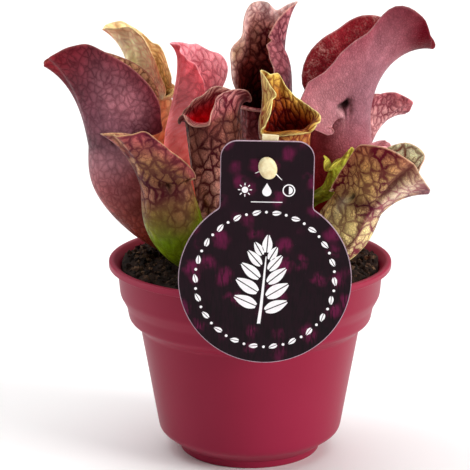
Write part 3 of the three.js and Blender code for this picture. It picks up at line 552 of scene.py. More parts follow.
            ("outside", 0, 2.0, 26, 0.25, (214, 128, 88), (176, 86, 60), 0.85),
            ("outside", 60, 1.45, 12, 0.2, (214, 208, 110), (190, 150, 80), 0.7),
        ],
        blush=(1.12, 1.03, 0.96), edge=(244, 230, 166), cell=2.8, stretch=1.1,
        width=0.1, fine=0.3, halo=0.6, grain=0.1, puff=0.2,
    ),
    dict(
        name="tall",
        back=50, curl=3, lean=-2, wing=1.5,
        spine=[(2, 9, 61), (3, 12, 68), (4.6, 16.5, 79), (5, 18, 94), (5.2, 17, 109)],
        girth=[(2.2, 2.2), (4.5, 4.5), (7.8, 7.8), (9, 8.6), (8.5, 8.4)],
        hood=[
            (0, 33.5, 52, 0), (-12, 28, -20, 0), (-26, 26, -66, 0), (-40, 25, -80, 0),
            (-55, 23.5, -84, 4), (-70, 20, -76, 14), (-82, 16, -46, 28), (-94, 12, 0, 46),
            (-106, 8, 18, 75), (-120, 3, 50, 70), *NARROW_LIP,
            (122, 4, 40, 50), (108, 8, 14, 50), (96, 14, 12, 34), (86, 19, 10, 24),
            (78, 22, -2, 14), (70, 26, 8, 10), (52, 32, 8, 4), (34, 32, 10, 0), (18, 29.5, 12, 0),
        ],
        outside=[
            (0, (120, 76, 52), (70, 22, 20), 0.6), (0.6, (150, 100, 92), (86, 34, 38), 0.8),
            (1.0, (146, 78, 86), (78, 20, 32), 0.9), (1.5, (166, 90, 102), (86, 22, 40), 0.95),
            (2, (196, 116, 122), (100, 32, 46), 0.95),
        ],
        inside=[
            (0, (30, 0, 2), (14, 0, 0), 1), (1, (74, 10, 14), (30, 0, 2), 1),
            (1.3, (128, 36, 34), (50, 2, 6), 1), (1.6, (170, 76, 68), (66, 2, 12), 1),
            (1.8, (240, 170, 162), (112, 26, 38), 0.95), (2, (255, 236, 230), (190, 124, 128), 0.8),
        ],
        patches=[
            ("inside", -6, 1.62, 9, 0.12, (184, 164, 70), (74, 12, 12), 0.9),
            ("inside", 22, 1.66, 10, 0.12, (176, 156, 72), (74, 12, 12), 0.8),
            ("inside", 55, 1.72, 12, 0.26, (206, 144, 120), (76, 12, 18), 0.7),
            ("inside", 84, 1.9, 9, 0.12, (236, 196, 140), (96, 24, 28), 0.8),
        ],
        hairs_and_glint=[("inside", 60, 1.95, 30, 0.12, 0.7), ("inside", 20, 1.97, 20, 0.08, 0.6)],
        blush=(1.2, 1.15, 1.15), edge=(206, 150, 130), cell=2.3, stretch=1.25, even=True,
        width=0.14, fine=0.6, halo=0.8, grain=0.35, puff=0.26,
    ),
    dict(
        name="yellow",
        back=100, curl=1.4, lean=0, wing=1,
        spine=[(3, -8.5, 61), (6.5, -12.5, 70), (10.5, -17, 82), (11, -19, 96),
               (10.3, -19, 108)],
        girth=[(2.2, 2.2), (4, 4), (6, 6), (6.5, 6.5), (8, 7)],
        hood=[
            (0, 16.5, 0, 0), (18, 16.5, 0, 0), (34, 18, 5, 0), (46, 17, -20, 4), (58, 15, -50, 8),
            (72, 13, -62, 14), (86, 12, -55, 26), (98, 9, -30, 50), (110, 5, 30, 60),
            (125, 2, 60, 40), (145, 1.5, 100, 20), (180, 2, 80, 0), (-145, 1.5, 100, 20),
            (-130, 3.4, 110, 50), (-112, 5, 116, 50), (-95, 5.6, 80, 40), (-80, 6, 30, 18),
            (-62, 7, 14, 5), (-42, 8.5, 6, 0), (-20, 12, 2, 0),
        ],
        outside=[
            (0, (130, 80, 40), (80, 24, 14), 0.5), (0.5, (166, 90, 50), (104, 26, 20), 0.7),
            (0.9, (190, 120, 62), (120, 34, 24), 0.8), (1.2, (196, 150, 80), (130, 40, 30), 1),
            (1.6, (204, 164, 92), (140, 50, 34), 1), (2, (232, 206, 132), (160, 80, 50), 0.9),
        ],
        inside=[
            (0, (70, 6, 6), (36, 0, 0), 1), (1, (110, 12, 6), (56, 0, 0), 1),
            (1.3, (150, 46, 14), (72, 0, 2), 1), (1.65, (196, 120, 44), (84, 4, 6), 1),
            (2, (230, 196, 96), (130, 40, 22), 0.95),
        ],
        patches=[
            ("outside", 0, 2.0, 16, 0.2, (240, 130, 92), (170, 60, 50), 0.8),
        ],
        blush=(1.15, 1.15, 1.0), edge=(244, 230, 160), cell=2.1, stretch=1.8,
        width=0.13, fine=0.5, halo=0.65, grain=0.2, puff=0.24,
    ),
    dict(
        name="right_back",
        back=10, curl=1.5, lean=8, wing=1,
        spine=[(7, 6, 61), (15, 15, 67), (26, 21, 77), (32, 22, 88), (34, 22, 97)],
        girth=[(2.2, 2.2), (4, 4), (6.3, 6.3), (6.5, 6.5), (6, 6)],
        hood=[
            (0, 14.5, 80, 0), (-15, 16, 78, 0), (-32, 19, 62, 0), (-50, 19.5, 32, 0),
            (-70, 18, 12, 6), (-88, 15, 10, 24), (-104, 9, 15, 66), (-120, 2, 50, 60),
            *NARROW_LIP, (120, 3, 50, 60),
            (104, 8, 15, 70), (88, 12, 10, 30), (60, 15, 24, 8), (28, 16.5, 62, 0),
        ],
        outside=[
            (0, (130, 86, 60), (84, 36, 32), 0.6), (0.6, (200, 144, 138), (124, 58, 64), 0.85),
            (1.0, (196, 140, 142), (124, 56, 66), 0.95), (1.6, (212, 152, 150), (130, 60, 72), 0.95),
            (2, (186, 104, 112), (118, 40, 54), 0.9),
        ],
        inside=[
            (0, (70, 16, 18), (40, 4, 8), 1), (1, (140, 70, 70), (80, 20, 26), 1),
            (2, (214, 148, 144), (130, 56, 64), 0.9),
        ],
        blush=(1.4, 1.4, 1.36), edge=(196, 124, 128), cell=2.1, stretch=1.3, even=True,
        width=0.13, fine=0.4, halo=0.65, grain=0.15, puff=0.24,
    ),
    dict(
        name="young_green",
        back=-10, curl=1.2, lean=0, wing=0.8,
        spine=[(13, -3.3, 61.5), (14.5, -6, 72), (18.6, -9, 82.5), (24.6, -11.2, 87.5),
               (26.6, -11.4, 92.6)],
        girth=[(1.3, 1.3), (1.4, 1.4), (1.5, 1.5), (2, 2.2), (2.2, 2.6)],
        hood=[
            (0, 9.8, -14, 0), (-40, 9.8, -12, 0), (-75, 8.6, -8, 0), (-105, 5, 0, 0),
            (-135, 1.4, 60, 0), (-160, 4, 84, 0), (180, 5.6, 92, 0), (160, 4, 84, 0),
            (135, 1.4, 60, 0), (105, 5, 0, 0), (75, 8.6, -8, 0), (40, 9.8, -12, 0),
        ],
        outside=[
            (0, (120, 140, 40), (90, 100, 30), 0.4), (0.6, (146, 166, 50), (110, 112, 40), 0.5),
            (1.2, (190, 206, 70), (150, 130, 50), 0.5), (2, (214, 214, 80), (170, 100, 60), 0.6),
        ],
        inside=[
            (0, (80, 90, 30), (50, 50, 20), 1), (1, (150, 166, 50), (110, 90, 36), 0.8),
            (2, (214, 214, 90), (160, 110, 50), 0.8),
        ],
        blush=(1.12, 1.12, 1.0), edge=(220, 210, 90), cell=1.8, stretch=1.6,
        width=0.12, fine=0.4, halo=0.55, grain=0.2, puff=0.14,
    ),
    dict(
        name="young_pink",
        back=0, curl=1.4, lean=8, wing=0.6,
        spine=[(18, -6, 61), (23, -7, 67), (29.8, -8.5, 77), (34.1, -9.2, 86), (35.5, -10, 93.5)],
        girth=[(1.6, 1.6), (2.4, 2.4), (3.4, 3.3), (3.6, 3.5), (3.4, 3.3)],
        hood=[
            (0, 9, 34, 0), (-35, 10, 22, 0), (-70, 10, 14, 8), (-100, 9, 16, 25),
            (-130, 1.5, 60, 20), (180, 1.5, 100, 0), (130, 1.5, 60, 20), (100, 6, 20, 25),
            (70, 9, 14, 5), (35, 10, 22, 0),
        ],
        outside=[
            (0, (150, 130, 70), (110, 80, 50), 0.3), (0.8, (226, 150, 136), (170, 90, 90), 0.35),
            (1.4, (250, 156, 166), (214, 110, 126), 0.4), (2, (255, 170, 180), (214, 110, 126), 0.4),
        ],
        inside=[
            (0, (100, 40, 40), (60, 10, 16), 1), (1, (246, 136, 150), (190, 80, 96), 0.5),
            (2, (255, 186, 194), (220, 120, 134), 0.4),
        ],
        blush=(1.24, 1.2, 1.22), edge=(250, 190, 190), cell=1.8, stretch=1.4,
        width=0.08, fine=0.3, halo=0.5, grain=0.15, puff=0.08,
    ),
]


def curve_through(points, places):
    """Smooth curve through the points, read at places from 0 to the last point's number."""
    p = np.asarray(points, float)
    p = np.vstack([2 * p[0] - p[1], p, 2 * p[-1] - p[-2]])
    i = np.clip(places.astype(int), 0, len(points) - 2)
    f = (places - i)[:, None]
    a, b, c, d = p[i], p[i + 1], p[i + 2], p[i + 3]
    value = 0.5 * (2 * b + (c - a) * f + (2 * a - 5 * b + 4 * c - d) * f ** 2
                   + (3 * b - a - 3 * c + d) * f ** 3)
    slope = 0.5 * ((c - a) + 2 * (2 * a - 5 * b + 4 * c - d) * f
                   + 3 * (3 * b - a - 3 * c + d) * f ** 2)
    return value, slope


def round_mouth(rows, column, bearings):
    """Smooth closed curve round the mouth through one column of the hood's rows."""
    rows = sorted(rows)
    x = np.array([r[0] for r in rows], float)
    y = np.array([r[column] for r in rows], float)
    x = np.concatenate([x[-2:] - 360, x, x[:2] + 360])
    y = np.concatenate([y[-2:], y, y[:2]])
    h = np.diff(x)
    step = np.diff(y) / h
    slope = np.zeros_like(y)
    slope[1:-1] = (step[:-1] * h[1:] + step[1:] * h[:-1]) / (h[:-1] + h[1:])
    slope[1:-1][step[:-1] * step[1:] <= 0] *= PEAK_SLOPE
    t = (bearings + 180) % 360 - 180
    i = np.clip(np.searchsorted(x, t, side="right") - 1, 0, len(x) - 2)
    f = (t - x[i]) / h[i]
    return ((1 + 2 * f) * (1 - f) ** 2 * y[i] + f * (1 - f) ** 2 * h[i] * slope[i]
            + f * f * (3 - 2 * f) * y[i + 1] + f * f * (f - 1) * h[i] * slope[i + 1])


def unit(v):
    return v / np.maximum(np.linalg.norm(v, axis=-1, keepdims=True), 1e-9)


def bearings_of(hood):
    """The hood's own bearings from 0 round to 360, with even steps between them."""
    own = sorted({row[0] % 360 for row in hood} | {0, 180})
    out = []
    for a, b in zip(own, own[1:] + [360]):
        n = max(1, math.ceil((b - a) / BEARING_GAP))
        out += [a + (b - a) * k / n for k in range(n)]
    return np.array(out)


def near(th, place, bearing, spot, wide, tall):
    """How close each point of the skin is to a spot, 1 on it and 0 well away."""
    off = (th - bearing + 180) % 360 - 180
    return np.exp(-((off[None] / wide) ** 2) - ((place[:, None] - spot) / tall) ** 2)[..., None]


def tube_rows(leaf, th):
    """The tube's rows from foot to mouth, and the mouth's upward, back and side directions."""
    t = np.linspace(0, 1, TUBE_ROWS)
    centre, along = curve_through(leaf["spine"], t * (len(leaf["spine"]) - 1))
    size, _ = curve_through(leaf["girth"], t * (len(leaf["girth"]) - 1))
    along = unit(along)
    back = math.radians(leaf["back"])
    to_back = unit(np.cross((-math.sin(back), math.cos(back), 0), along))
    to_side = np.cross(along, to_back)
    keel = leaf["wing"] * np.maximum(np.sin(np.pi * t), 0) ** KEEL_FADE
    ridge = np.outer(keel, np.exp(-((th - 180) / KEEL_SPREAD) ** 2))
    depth = np.outer(size[:, 1], np.cos(np.radians(th))) - ridge
    width = np.outer(size[:, 0], np.sin(np.radians(th)))
    rows = (centre[:, None] + depth[..., None] * to_back[:, None]
            + width[..., None] * to_side[:, None])
    return rows, (along[-1], to_back[-1], to_side[-1])


def hood_rows(leaf, th, mouth, directions):
    """The hood's rows, grown from the mouth in small steps along each bearing's own line."""
    tangent, behind, beside = directions
    cos, sin = np.cos(np.radians(th)), np.sin(np.radians(th))
    half_width, half_depth = leaf["girth"][-1]
    outward = unit(np.outer(cos / half_depth, behind) + np.outer(sin / half_width, beside))
    forward = unit(np.outer(-half_depth * sin, behind) + np.outer(half_width * cos, beside))
    forward[th >= 180] *= -1
    lean = math.radians(leaf["lean"])
    upward = math.cos(lean) * tangent + math.sin(lean) * behind
    reach = np.maximum(round_mouth(leaf["hood"], 1, th), SHORTEST_LINE)
    flare = round_mouth(leaf["hood"], 2, th)
    sweep = round_mouth(leaf["hood"], 3, th)
    fold = FOLD * np.maximum(sweep - FOLD_FROM, 0)
    lip = np.clip((LIP_LINE - reach) / LIP_BLEND, 0, 1)
    reach = reach * (1 + LIP_EXTRA * lip)
    phase = leaf["back"] / WAVE_SHIFT
    wave = sum(height * np.sin(np.radians(th) * count + shift * phase)
               for height, count, shift in WAVES) * (1 - lip)
    wave *= np.clip((reach - WAVE_FROM) / WAVE_BLEND, 0, 1)
    point = mouth.copy()
    rows = []
    for k in range(HOOD_ROWS):
        for j in range(STEPS):
            s = (k + (j + 0.5) / STEPS) / HOOD_ROWS
            out = np.radians(flare * s ** leaf["curl"] + fold * (1 - s) ** FOLD_FADE
                             + LIP_ROLL * lip * s)
            turn = np.radians(sweep * s ** SWEEP_START)
            step = ((np.cos(out) * np.cos(turn))[:, None] * upward
                    + (np.cos(out) * np.sin(turn))[:, None] * forward
                    + np.sin(out)[:, None] * outward)
            point = point + step * (reach / (HOOD_ROWS * STEPS))[:, None]
        s = (k + 1) / HOOD_ROWS
        rows.append(point + outward * (wave * s ** WAVE_GROWTH)[:, None])
    return np.array(rows)


def leaf_surface(leaf):
    """The leaf's outer skin as rows of points, each row's place from 0 to 2, and the bearings."""
    th = bearings_of(leaf["hood"])
    tube, directions = tube_rows(leaf, th)
    outer = np.concatenate([tube, hood_rows(leaf, th, tube[-1], directions)])
    place = np.concatenate([np.linspace(0, 1, TUBE_ROWS),
                            1 + np.arange(1, HOOD_ROWS + 1) / HOOD_ROWS])
    for bearing, spot, wide, tall, height in leaf["dents"]:
        outer = outer + skin_normals(outer) * (height * near(th, place, bearing, spot, wide, tall))
    return outer, place, th


def skin_normals(grid):
    """Outward directions of the skin, evened out a little round the leaf."""
    up = np.empty_like(grid)
    up[1:-1] = grid[2:] - grid[:-2]
    up[0] = grid[1] - grid[0]
    up[-1] = grid[-1] - grid[-2]
    side = np.roll(grid, -1, axis=1) - np.roll(grid, 1, axis=1)
    normal = unit(np.cross(unit(side), unit(up)))
    for _ in range(2):
        normal = unit(np.roll(normal, 1, axis=1) + 2 * normal + np.roll(normal, -1, axis=1))
    return normal


def measured(grid):
    """Across and along distances on the skin, for a pattern that keeps its size."""
    rise = np.linalg.norm(np.diff(grid, axis=0), axis=2)
    along = np.vstack([np.zeros(grid.shape[1]), np.cumsum(rise, axis=0)])
    gap = np.linalg.norm(np.roll(grid, -1, axis=1) - grid, axis=2)
    climb = np.roll(along, -1, axis=1) - along
    flat = np.sqrt(np.maximum(gap ** 2 - climb ** 2, (FLATTEST * gap) ** 2))
    across = np.hstack([np.zeros((len(grid), 1)), np.cumsum(flat, axis=1)])
    return across, np.hstack([along, along[:, :1]])


def gradient(stops, place):
    """Tissue colour, vein colour and the veins' strength at each place."""
    def blend(values):
        return np.interp(place, [s[0] for s in stops], values)
    ground, vein = (np.stack([blend([linear(s[i])[c] for s in stops]) for c in range(3)], -1)
                    for i in (1, 2))
    return ground, vein, blend([s[3] for s in stops])


def leaf_colours(leaf, side, place, th, from_edge):
    """Tissue, with painted shade or highlight in some patches and how much of it bears pale hairs with
    their glint painted in, and veins with their strength.
    """
    shape = (len(place), len(th))
    ground, vein, strength = gradient(leaf[side], place)
    ground = np.broadcast_to(ground[:, None], (*shape, 3)).copy()
    vein = np.broadcast_to(vein[:, None], (*shape, 3)).copy()
    rim = np.clip(1 - from_edge / EDGE_LINE, 0, 1)
    ground += (EDGE_PALE * rim)[..., None] * (linear(leaf["edge"]) - ground)
    strength = strength[:, None] * (1 - EDGE_CLEAR * rim)
    for where, *spot, tissue, veins, amount in leaf["patches"]:
        if where == side:
            cover = np.minimum(amount * near(th, place, *spot), 1)
            ground += cover * (linear(tissue) - ground)
            vein += cover * (linear(veins) - vein)
    hairs_and_glint = np.zeros((*shape, 1))
    for where, *spot, amount in leaf["hairs_and_glint"]:
        if where == side:
            hairs_and_glint = np.maximum(hairs_and_glint, amount * near(th, place, *spot))
    return (np.concatenate([ground, hairs_and_glint], axis=-1),
            np.concatenate([vein, strength[..., None]], axis=-1))


def leaf_quads(across, along, th):
    """Quads of both walls and the rim, and the place of each corner on the skin."""
    rows, n = along.shape[0], len(th)
    inner_rows = rows - HOLLOW_FROM
    second = rows * n
    rim = second + inner_rows * n
    j = np.arange(n)
    k = (j + 1) % n
    whole_turn = np.where(th < 180, 0, across[:, n:])
    u_first, u_next = across[:, :n] - whole_turn, across[:, 1:] - whole_turn
    quads, marks = [], []

    def strip(low, high, row_low, row_high, flip):
        """Quads between two rows of points, with their places on the skin."""
        quad = np.stack([low + j, low + k, high + k, high + j], axis=1)
        mark = np.stack([
            np.stack([u_first[row_low], along[row_low, :n]], -1),
            np.stack([u_next[row_low], along[row_low, 1:]], -1),
            np.stack([u_next[row_high], along[row_high, 1:]], -1),
            np.stack([u_first[row_high], along[row_high, :n]], -1)], axis=1)
        quads.append(quad[:, ::-1] if flip else quad)
        marks.append(mark[:, ::-1] if flip else mark)

    for i in range(rows - 1):
        strip(i * n, (i + 1) * n, i, i + 1, False)
    for i in range(inner_rows - 1):
        row = i + HOLLOW_FROM
        strip(second + i * n, second + (i + 1) * n, row, row + 1, True)
    strip(second - n, rim, rows - 1, rows - 1, False)
    strip(rim - n, rim, rows - 1, rows - 1, True)
    return np.concatenate(quads), np.concatenate(marks)


def leaf_mesh(leaf):
    """A leaf with its two walls, the rim between them, a solid foot, its map and its colours."""
    outer, place, th = leaf_surface(leaf)
    rows, n = outer.shape[:2]
    across, along = measured(outer)
    thick = np.interp(place, [0, 1, 2], [BLADE, BLADE, EDGE_SHARE * BLADE])
    inner = outer - skin_normals(outer) * thick[:, None, None]
    rim = (outer[-1] + inner[-1]) / 2 + EDGE_ROUND * unit(outer[-1] - outer[-2])
    hollow = inner[HOLLOW_FROM:]
    ends = np.array([leaf["spine"][0], hollow[0].mean(axis=0)])
    points = np.concatenate([outer.reshape(-1, 3), hollow.reshape(-1, 3), rim, ends]) * MM

    quads, marks = leaf_quads(across, along, th)
    j = np.arange(n)
    k = (j + 1) % n
    second, foot, bottom = rows * n, len(points) - 2, len(points) - 1
    fans = np.concatenate([np.stack([k, j, np.full(n, foot)], 1),
                           np.stack([second + j, second + k, np.full(n, bottom)], 1)])
    piece = mesh_object("leaf_" + leaf["name"], points, quads.tolist() + fans.tolist(),
                        leaf_finish(leaf))
    mesh = piece.data
    uv = mesh.uv_layers.new(name="blade")
    flat = np.zeros((len(mesh.loops), 2), np.float32)
    flat[:4 * len(quads)] = marks.reshape(-1, 2)
    uv.data.foreach_set("uv", flat.ravel())

    from_edge = along[-1:, :n] - along[:, :n]
    outside = leaf_colours(leaf, "outside", place, th, from_edge)
    inside = leaf_colours(leaf, "inside", place, th, from_edge)
    for name, out, within in zip(("tissue", "veins"), outside, inside):
        within = within[HOLLOW_FROM:]
        both = np.concatenate([out.reshape(-1, 4), within.reshape(-1, 4),
                               (out[-1] + within[-1]) / 2, out[0, :1], within[0, :1]])
        layer = mesh.attributes.new(name, "FLOAT_COLOR", "POINT")
        layer.data.foreach_set("color", both.astype(np.float32).ravel())
    face_outward(mesh)
    stand_for(piece, "pitcher_" + leaf["name"])


def vein_grid(tree, leaf, solid):
    """The place in the net of veins, bent a little so that no line runs straight."""
    cell = leaf["cell"]
    bend = wander(tree, solid, 420 / cell, (1.5, 1.5, 1.5), 4.0, 0.62)
    if leaf["even"]:
        grid = vector(tree, "MULTIPLY", solid,
                      (1000 / cell, 1000 / cell, 1000 / cell / leaf["stretch"]))
    else:
        blade = node(tree, "ShaderNodeUVMap", {"uv_map": "blade"}).outputs[0]
        grid = vector(tree, "MULTIPLY", blade, (1 / cell, 1 / (cell * leaf["stretch"]), 0))
    return vector(tree, "ADD", grid, bend)


def leaf_fields(tree, leaf):
    """Distances to the net's thick and thin lines, its cells, and noises from broad to fine."""
    solid = object_place(tree)
    grid = vein_grid(tree, leaf, solid)
    kind = {"voronoi_dimensions": "3D" if leaf["even"] else "2D"}
    edge = dict(kind, feature="DISTANCE_TO_EDGE")
    thick, thin = (node(tree, "ShaderNodeTexVoronoi", edge, Vector=grid, Scale=scale)
                   for scale in (1.0, 2.9))
    return SimpleNamespace(
        thick=thick.outputs["Distance"], thin=thin.outputs["Distance"],
        cell=node(tree, "ShaderNodeTexVoronoi", kind, Vector=grid, Scale=1.0).outputs,
        drift=noise(tree, solid, 95.0, 3.0, 0.55), swell=noise(tree, solid, 150.0),
        cloud=noise(tree, solid, 380.0, 3.0, 0.6), speck=noise(tree, solid, 1500.0, 3.0, 0.7))


def vein_net(tree, leaf, at, strength):
    """How much of the tissue is covered by veins: lines, thin lines, halos, corners, grain."""
    width = number(tree, "MULTIPLY", fade(tree, at.swell, 0.35, 0.65, 0.6, 1.35), leaf["width"])
    line = fade(tree, number(tree, "DIVIDE", at.thick, width), 0.15, 1.5, 1.0, 0.0)
    thin = number(tree, "MULTIPLY", fade(tree, at.thin, 0.0, 0.16, leaf["fine"], 0.0),
                  fade(tree, at.cloud, 0.35, 0.6, 0.5, 1.0))
    halo = fade(tree, at.thick, 0.0, 0.34, leaf["halo"], 0.0)
    corner = fade(tree, at.cell["Distance"], 0.3, 0.8, 0.0, leaf["halo"])
    grain = number(tree, "MULTIPLY", fade(tree, at.speck, 0.42, 0.64), leaf["grain"])
    net = line
    for more in (thin, halo, corner, grain):
        net = number(tree, "MAXIMUM", net, more)
    shown = number(tree, "MULTIPLY", strength, fade(tree, at.drift, 0.35, 0.62, 1.1, 0.75))
    return number(tree, "MULTIPLY", net, shown, clamp=True)


def leaf_tissue(tree, leaf, at, tissue):
    """The tissue's colour, with a tone for each cell and a blush here and there."""
    tone = number(tree, "ADD", number(tree, "MULTIPLY", at.cell["Color"], leaf["swing"]),
                  number(tree, "MULTIPLY", at.cloud, CLOUD_TONE))
    low = CELL_TONE - leaf["swing"] / 2
    tone = number(tree, "ADD", tone, fade(tree, at.thick, 0.0, 0.45, low, low + leaf["swing"]))
    tissue = mixed(tree, 1.0, tissue, tone, "MULTIPLY")
    return mixed(tree, fade(tree, at.drift, 0.42, 0.66), tissue,
                 mixed(tree, 1.0, tissue, (*leaf["blush"], 1), "MULTIPLY"))


def leaf_finish(leaf):
    """Tissue with two nets of veins, puffed a little between them, and pale hairs with a painted glint."""
    material, tree, shader = new_material(
        "leaf_" + leaf["name"] + "_tissue", 0.42, Specular_IOR_Level=0.06, Subsurface_Weight=0.06,
        Subsurface_Radius=(0.0012, 0.0005, 0.0004), Subsurface_Scale=1.0)
    skin = node(tree, "ShaderNodeAttribute", {"attribute_name": "tissue"})
    veins = node(tree, "ShaderNodeAttribute", {"attribute_name": "veins"})
    at = leaf_fields(tree, leaf)
    colour = mixed(tree, vein_net(tree, leaf, at, veins.outputs["Alpha"]),
                   leaf_tissue(tree, leaf, at, skin.outputs["Color"]), veins.outputs["Color"])
    # Pale hairs in specks and clouds, with the glint of light on them painted in.
    hairs_and_glint = number(tree, "MULTIPLY", fade(tree, at.speck, 0.38, 0.62),
                   fade(tree, at.cloud, 0.42, 0.6, 0.1, 1.0))
    hairs_and_glint = number(tree, "MULTIPLY", hairs_and_glint, skin.outputs["Alpha"])
    feed(tree, shader.inputs["Base Color"], mixed(tree, hairs_and_glint, colour, HAIRS_AND_GLINT))
    feed(tree, shader.inputs["Roughness"], fade(tree, at.speck, 0.3, 0.7, 0.3, 0.46))
    pillow = number(tree, "MULTIPLY", fade(tree, at.thick, 0.0, 0.4), leaf["puff"])
    ripple = number(tree, "MULTIPLY", fade(tree, at.thin, 0.0, 0.25), 0.05)
    grit = number(tree, "MULTIPLY", at.speck, 0.06)
    pillow = number(tree, "ADD", number(tree, "ADD", pillow, ripple), grit)
    relief(tree, shader, pillow, 0.001, 0.9)
    return material


for leaf in LEAVES:
    leaf_mesh({**PLAIN_LEAF, **leaf})


# Geometry Nodes trees, and the one that turns a profile about the Z axis

def new_tree(name, source, sizes, result):
    """A tree with one shape in and one out, and between them its named sizes and finish."""
    tree = bpy.data.node_groups.new(name, "GeometryNodeTree")

    def socket(label, kind, default=None, way="INPUT"):
        made = tree.interface.new_socket(name=label, in_out=way, socket_type="NodeSocket" + kind)
        if default is not None:
            made.default_value = default
        return made.identifier

    socket(source, "Geometry")
    keys = {label: socket(label, kind, default) for label, kind, default in sizes}
    keys["Finish"] = socket("Finish", "Material")
    socket(result, "Geometry", way="OUTPUT")
    return tree, keys, tree.nodes.new("NodeGroupInput").outputs


def end_tree(tree, shape, finish):
    """The tree's end: instances made real, the material set, and the output."""
    real = node(tree, "GeometryNodeRealizeInstances", Geometry=shape)
    done = node(tree, "GeometryNodeSetMaterial", Geometry=real.outputs[0], Material=finish)
    feed(tree, tree.nodes.new("NodeGroupOutput").inputs[0], done.outputs[0])


def position(tree):
    return node(tree, "GeometryNodeInputPosition").outputs[0]


def turning_tree():
    """Wraps a grid round the Z axis, each of its columns at a point of the profile."""
    tree, keys, given = new_tree("turned_wall", "Profile",
                                 [("Points", "Int", 2), ("Sides", "Int", 64)], "Wall")
    grid = node(tree, "GeometryNodeMeshGrid", Size_X=1.0, Size_Y=1.0, Vertices_X=given["Points"],
                Vertices_Y=number(tree, "ADD", given["Sides"], 1.0))
    place = node(tree, "ShaderNodeSeparateXYZ", Vector=position(tree)).outputs
    row = number(tree, "MULTIPLY", number(tree, "ADD", place[0], 0.5),
                 number(tree, "SUBTRACT", given["Points"], 1.0))
    turn = number(tree, "MULTIPLY", number(tree, "ADD", place[1], 0.5), TAU)
    pick = node(tree, "GeometryNodeSampleIndex", {"data_type": "FLOAT_VECTOR"},
                Geometry=given["Profile"], Index=number(tree, "ROUND", row), Value=position(tree))
    spot = node(tree, "ShaderNodeSeparateXYZ", Vector=pick.outputs["Value"]).outputs
    spun = node(tree, "ShaderNodeCombineXYZ",
                X=number(tree, "MULTIPLY", spot[0], number(tree, "COSINE", turn)),
                Y=number(tree, "MULTIPLY", spot[0], number(tree, "SINE", turn)), Z=spot[2])
    moved = node(tree, "GeometryNodeSetPosition", Geometry=grid.outputs["Mesh"],
                 Position=spun.outputs[0])
    closed = node(tree, "GeometryNodeMergeByDistance", Geometry=moved.outputs[0], Distance=1e-6)
    smooth = node(tree, "GeometryNodeSetShadeSmooth", Geometry=closed.outputs[0])
    end_tree(tree, smooth.outputs[0], given["Finish"])
    return tree, keys


TURNING, TURNING_KEYS = turning_tree()


def grow(piece, tree, keys, values):
    """Gives the piece a Geometry Nodes tree with its named sizes."""
    modifier = piece.modifiers.new(tree.name, "NODES")
    modifier.node_group = tree
    for name, value in values.items():
        modifier[keys[name]] = value
    piece.update_tag()


LARGEST_CUT = 0.48              # share of a side that one rounding may take


def rounded(corners, radius, steps=4):
    """The outline with each inner corner rounded; a corner may give its own radius."""
    out = [corners[0][:2]]
    for before, corner, after in zip(corners, corners[1:], corners[2:]):
        c = np.array(corner[:2], float)
        a, b = np.array(before[:2]) - c, np.array(after[:2]) - c
        cut = min(corner[2] if len(corner) > 2 else radius,
                  LARGEST_CUT * np.linalg.norm(a), LARGEST_CUT * np.linalg.norm(b))
        a, b = c + a / np.linalg.norm(a) * cut, c + b / np.linalg.norm(b) * cut
        for i in range(steps + 1):
            f = i / steps
            out.append(tuple((1 - f) ** 2 * a + 2 * f * (1 - f) * c + f * f * b))
    out.append(corners[-1][:2])
    return out


def turned(name, profile, sides, finish):
    """A turned piece from a profile of radius and height, in millimetres."""
    mesh = bpy.data.meshes.new(name)
    points = [(r * MM, 0, z * MM) for r, z in profile]
    mesh.from_pydata(points, [(i, i + 1) for i in range(len(points) - 1)], [])
    piece = in_scene(name, mesh)
    grow(piece, TURNING, TURNING_KEYS, {"Points": len(points), "Sides": sides, "Finish": finish})
    made = settled(piece, name)
    face_outward(made.data)
    return made


# Pot

# Each corner of the outline is a radius, a height and its own rounding, up the outside of the
# foot, the wall, the collar and the rim, and down the inside to the middle of the floor.
POT_OUTLINE = [
    (0, 0), (22.5, 0, 0.6), (22.9, 2.4, 0.5), (29.3, 7, 1.6), (35.2, 41.2, 0.8),
    (38.7, 44.2, 0.9), (39.5, 48.4, 0.8), (41.5, 52.2, 0.9), (42.3, 60.9, 0.35), (45, 61.2, 0.4),
    (45, 63.2, 0.7), (43.4, 63.4, 0.7), (41.1, 61, 0.8), (40.3, 52.6, 0.8), (38.3, 49, 0.8),
    (37.5, 44.8, 0.8), (34, 41.9, 0.8), (28.2, 7.8, 1.5), (21.4, 1.2, 0.6), (0, 1.2),
]
POT_SIDES = 160
DRAIN_HOLES, DRAIN_CIRCLE, DRAIN_RADIUS = 6, 0.015, 0.0026   # metres
DRAIN_SIDES, DRAIN_DEPTH, DRAIN_HEIGHT = 28, 0.006, 0.001
DRAIN_TURN = 0.1                # radians, so that no corner of a hole meets the pot's own edges


def pot_finish():
    material, tree, shader = new_material("raspberry_plastic", 0.38, Specular_IOR_Level=0.12)
    place = object_place(tree)
    cloud = noise(tree, place, 22.0, 3.0, 0.5)
    colour = mixed(tree, fade(tree, cloud, 0.3, 0.7), paint((134, 26, 52)), paint((140, 30, 58)))
    # Painted highlight: the rim's top edge lighter and pinker, where light catches it.
    rim = fade(tree, height_of(tree, place), 0.0605, 0.0635, 0.0, 0.35)
    colour = mixed(tree, rim, colour, paint((184, 66, 90)))
    feed(tree, shader.inputs["Base Color"], colour)
    feed(tree, shader.inputs["Roughness"], fade(tree, cloud, 0.25, 0.75, 0.34, 0.44))
    relief(tree, shader, noise(tree, place, 900.0, 3.0, 0.6), 0.00004, 0.5)
    return material


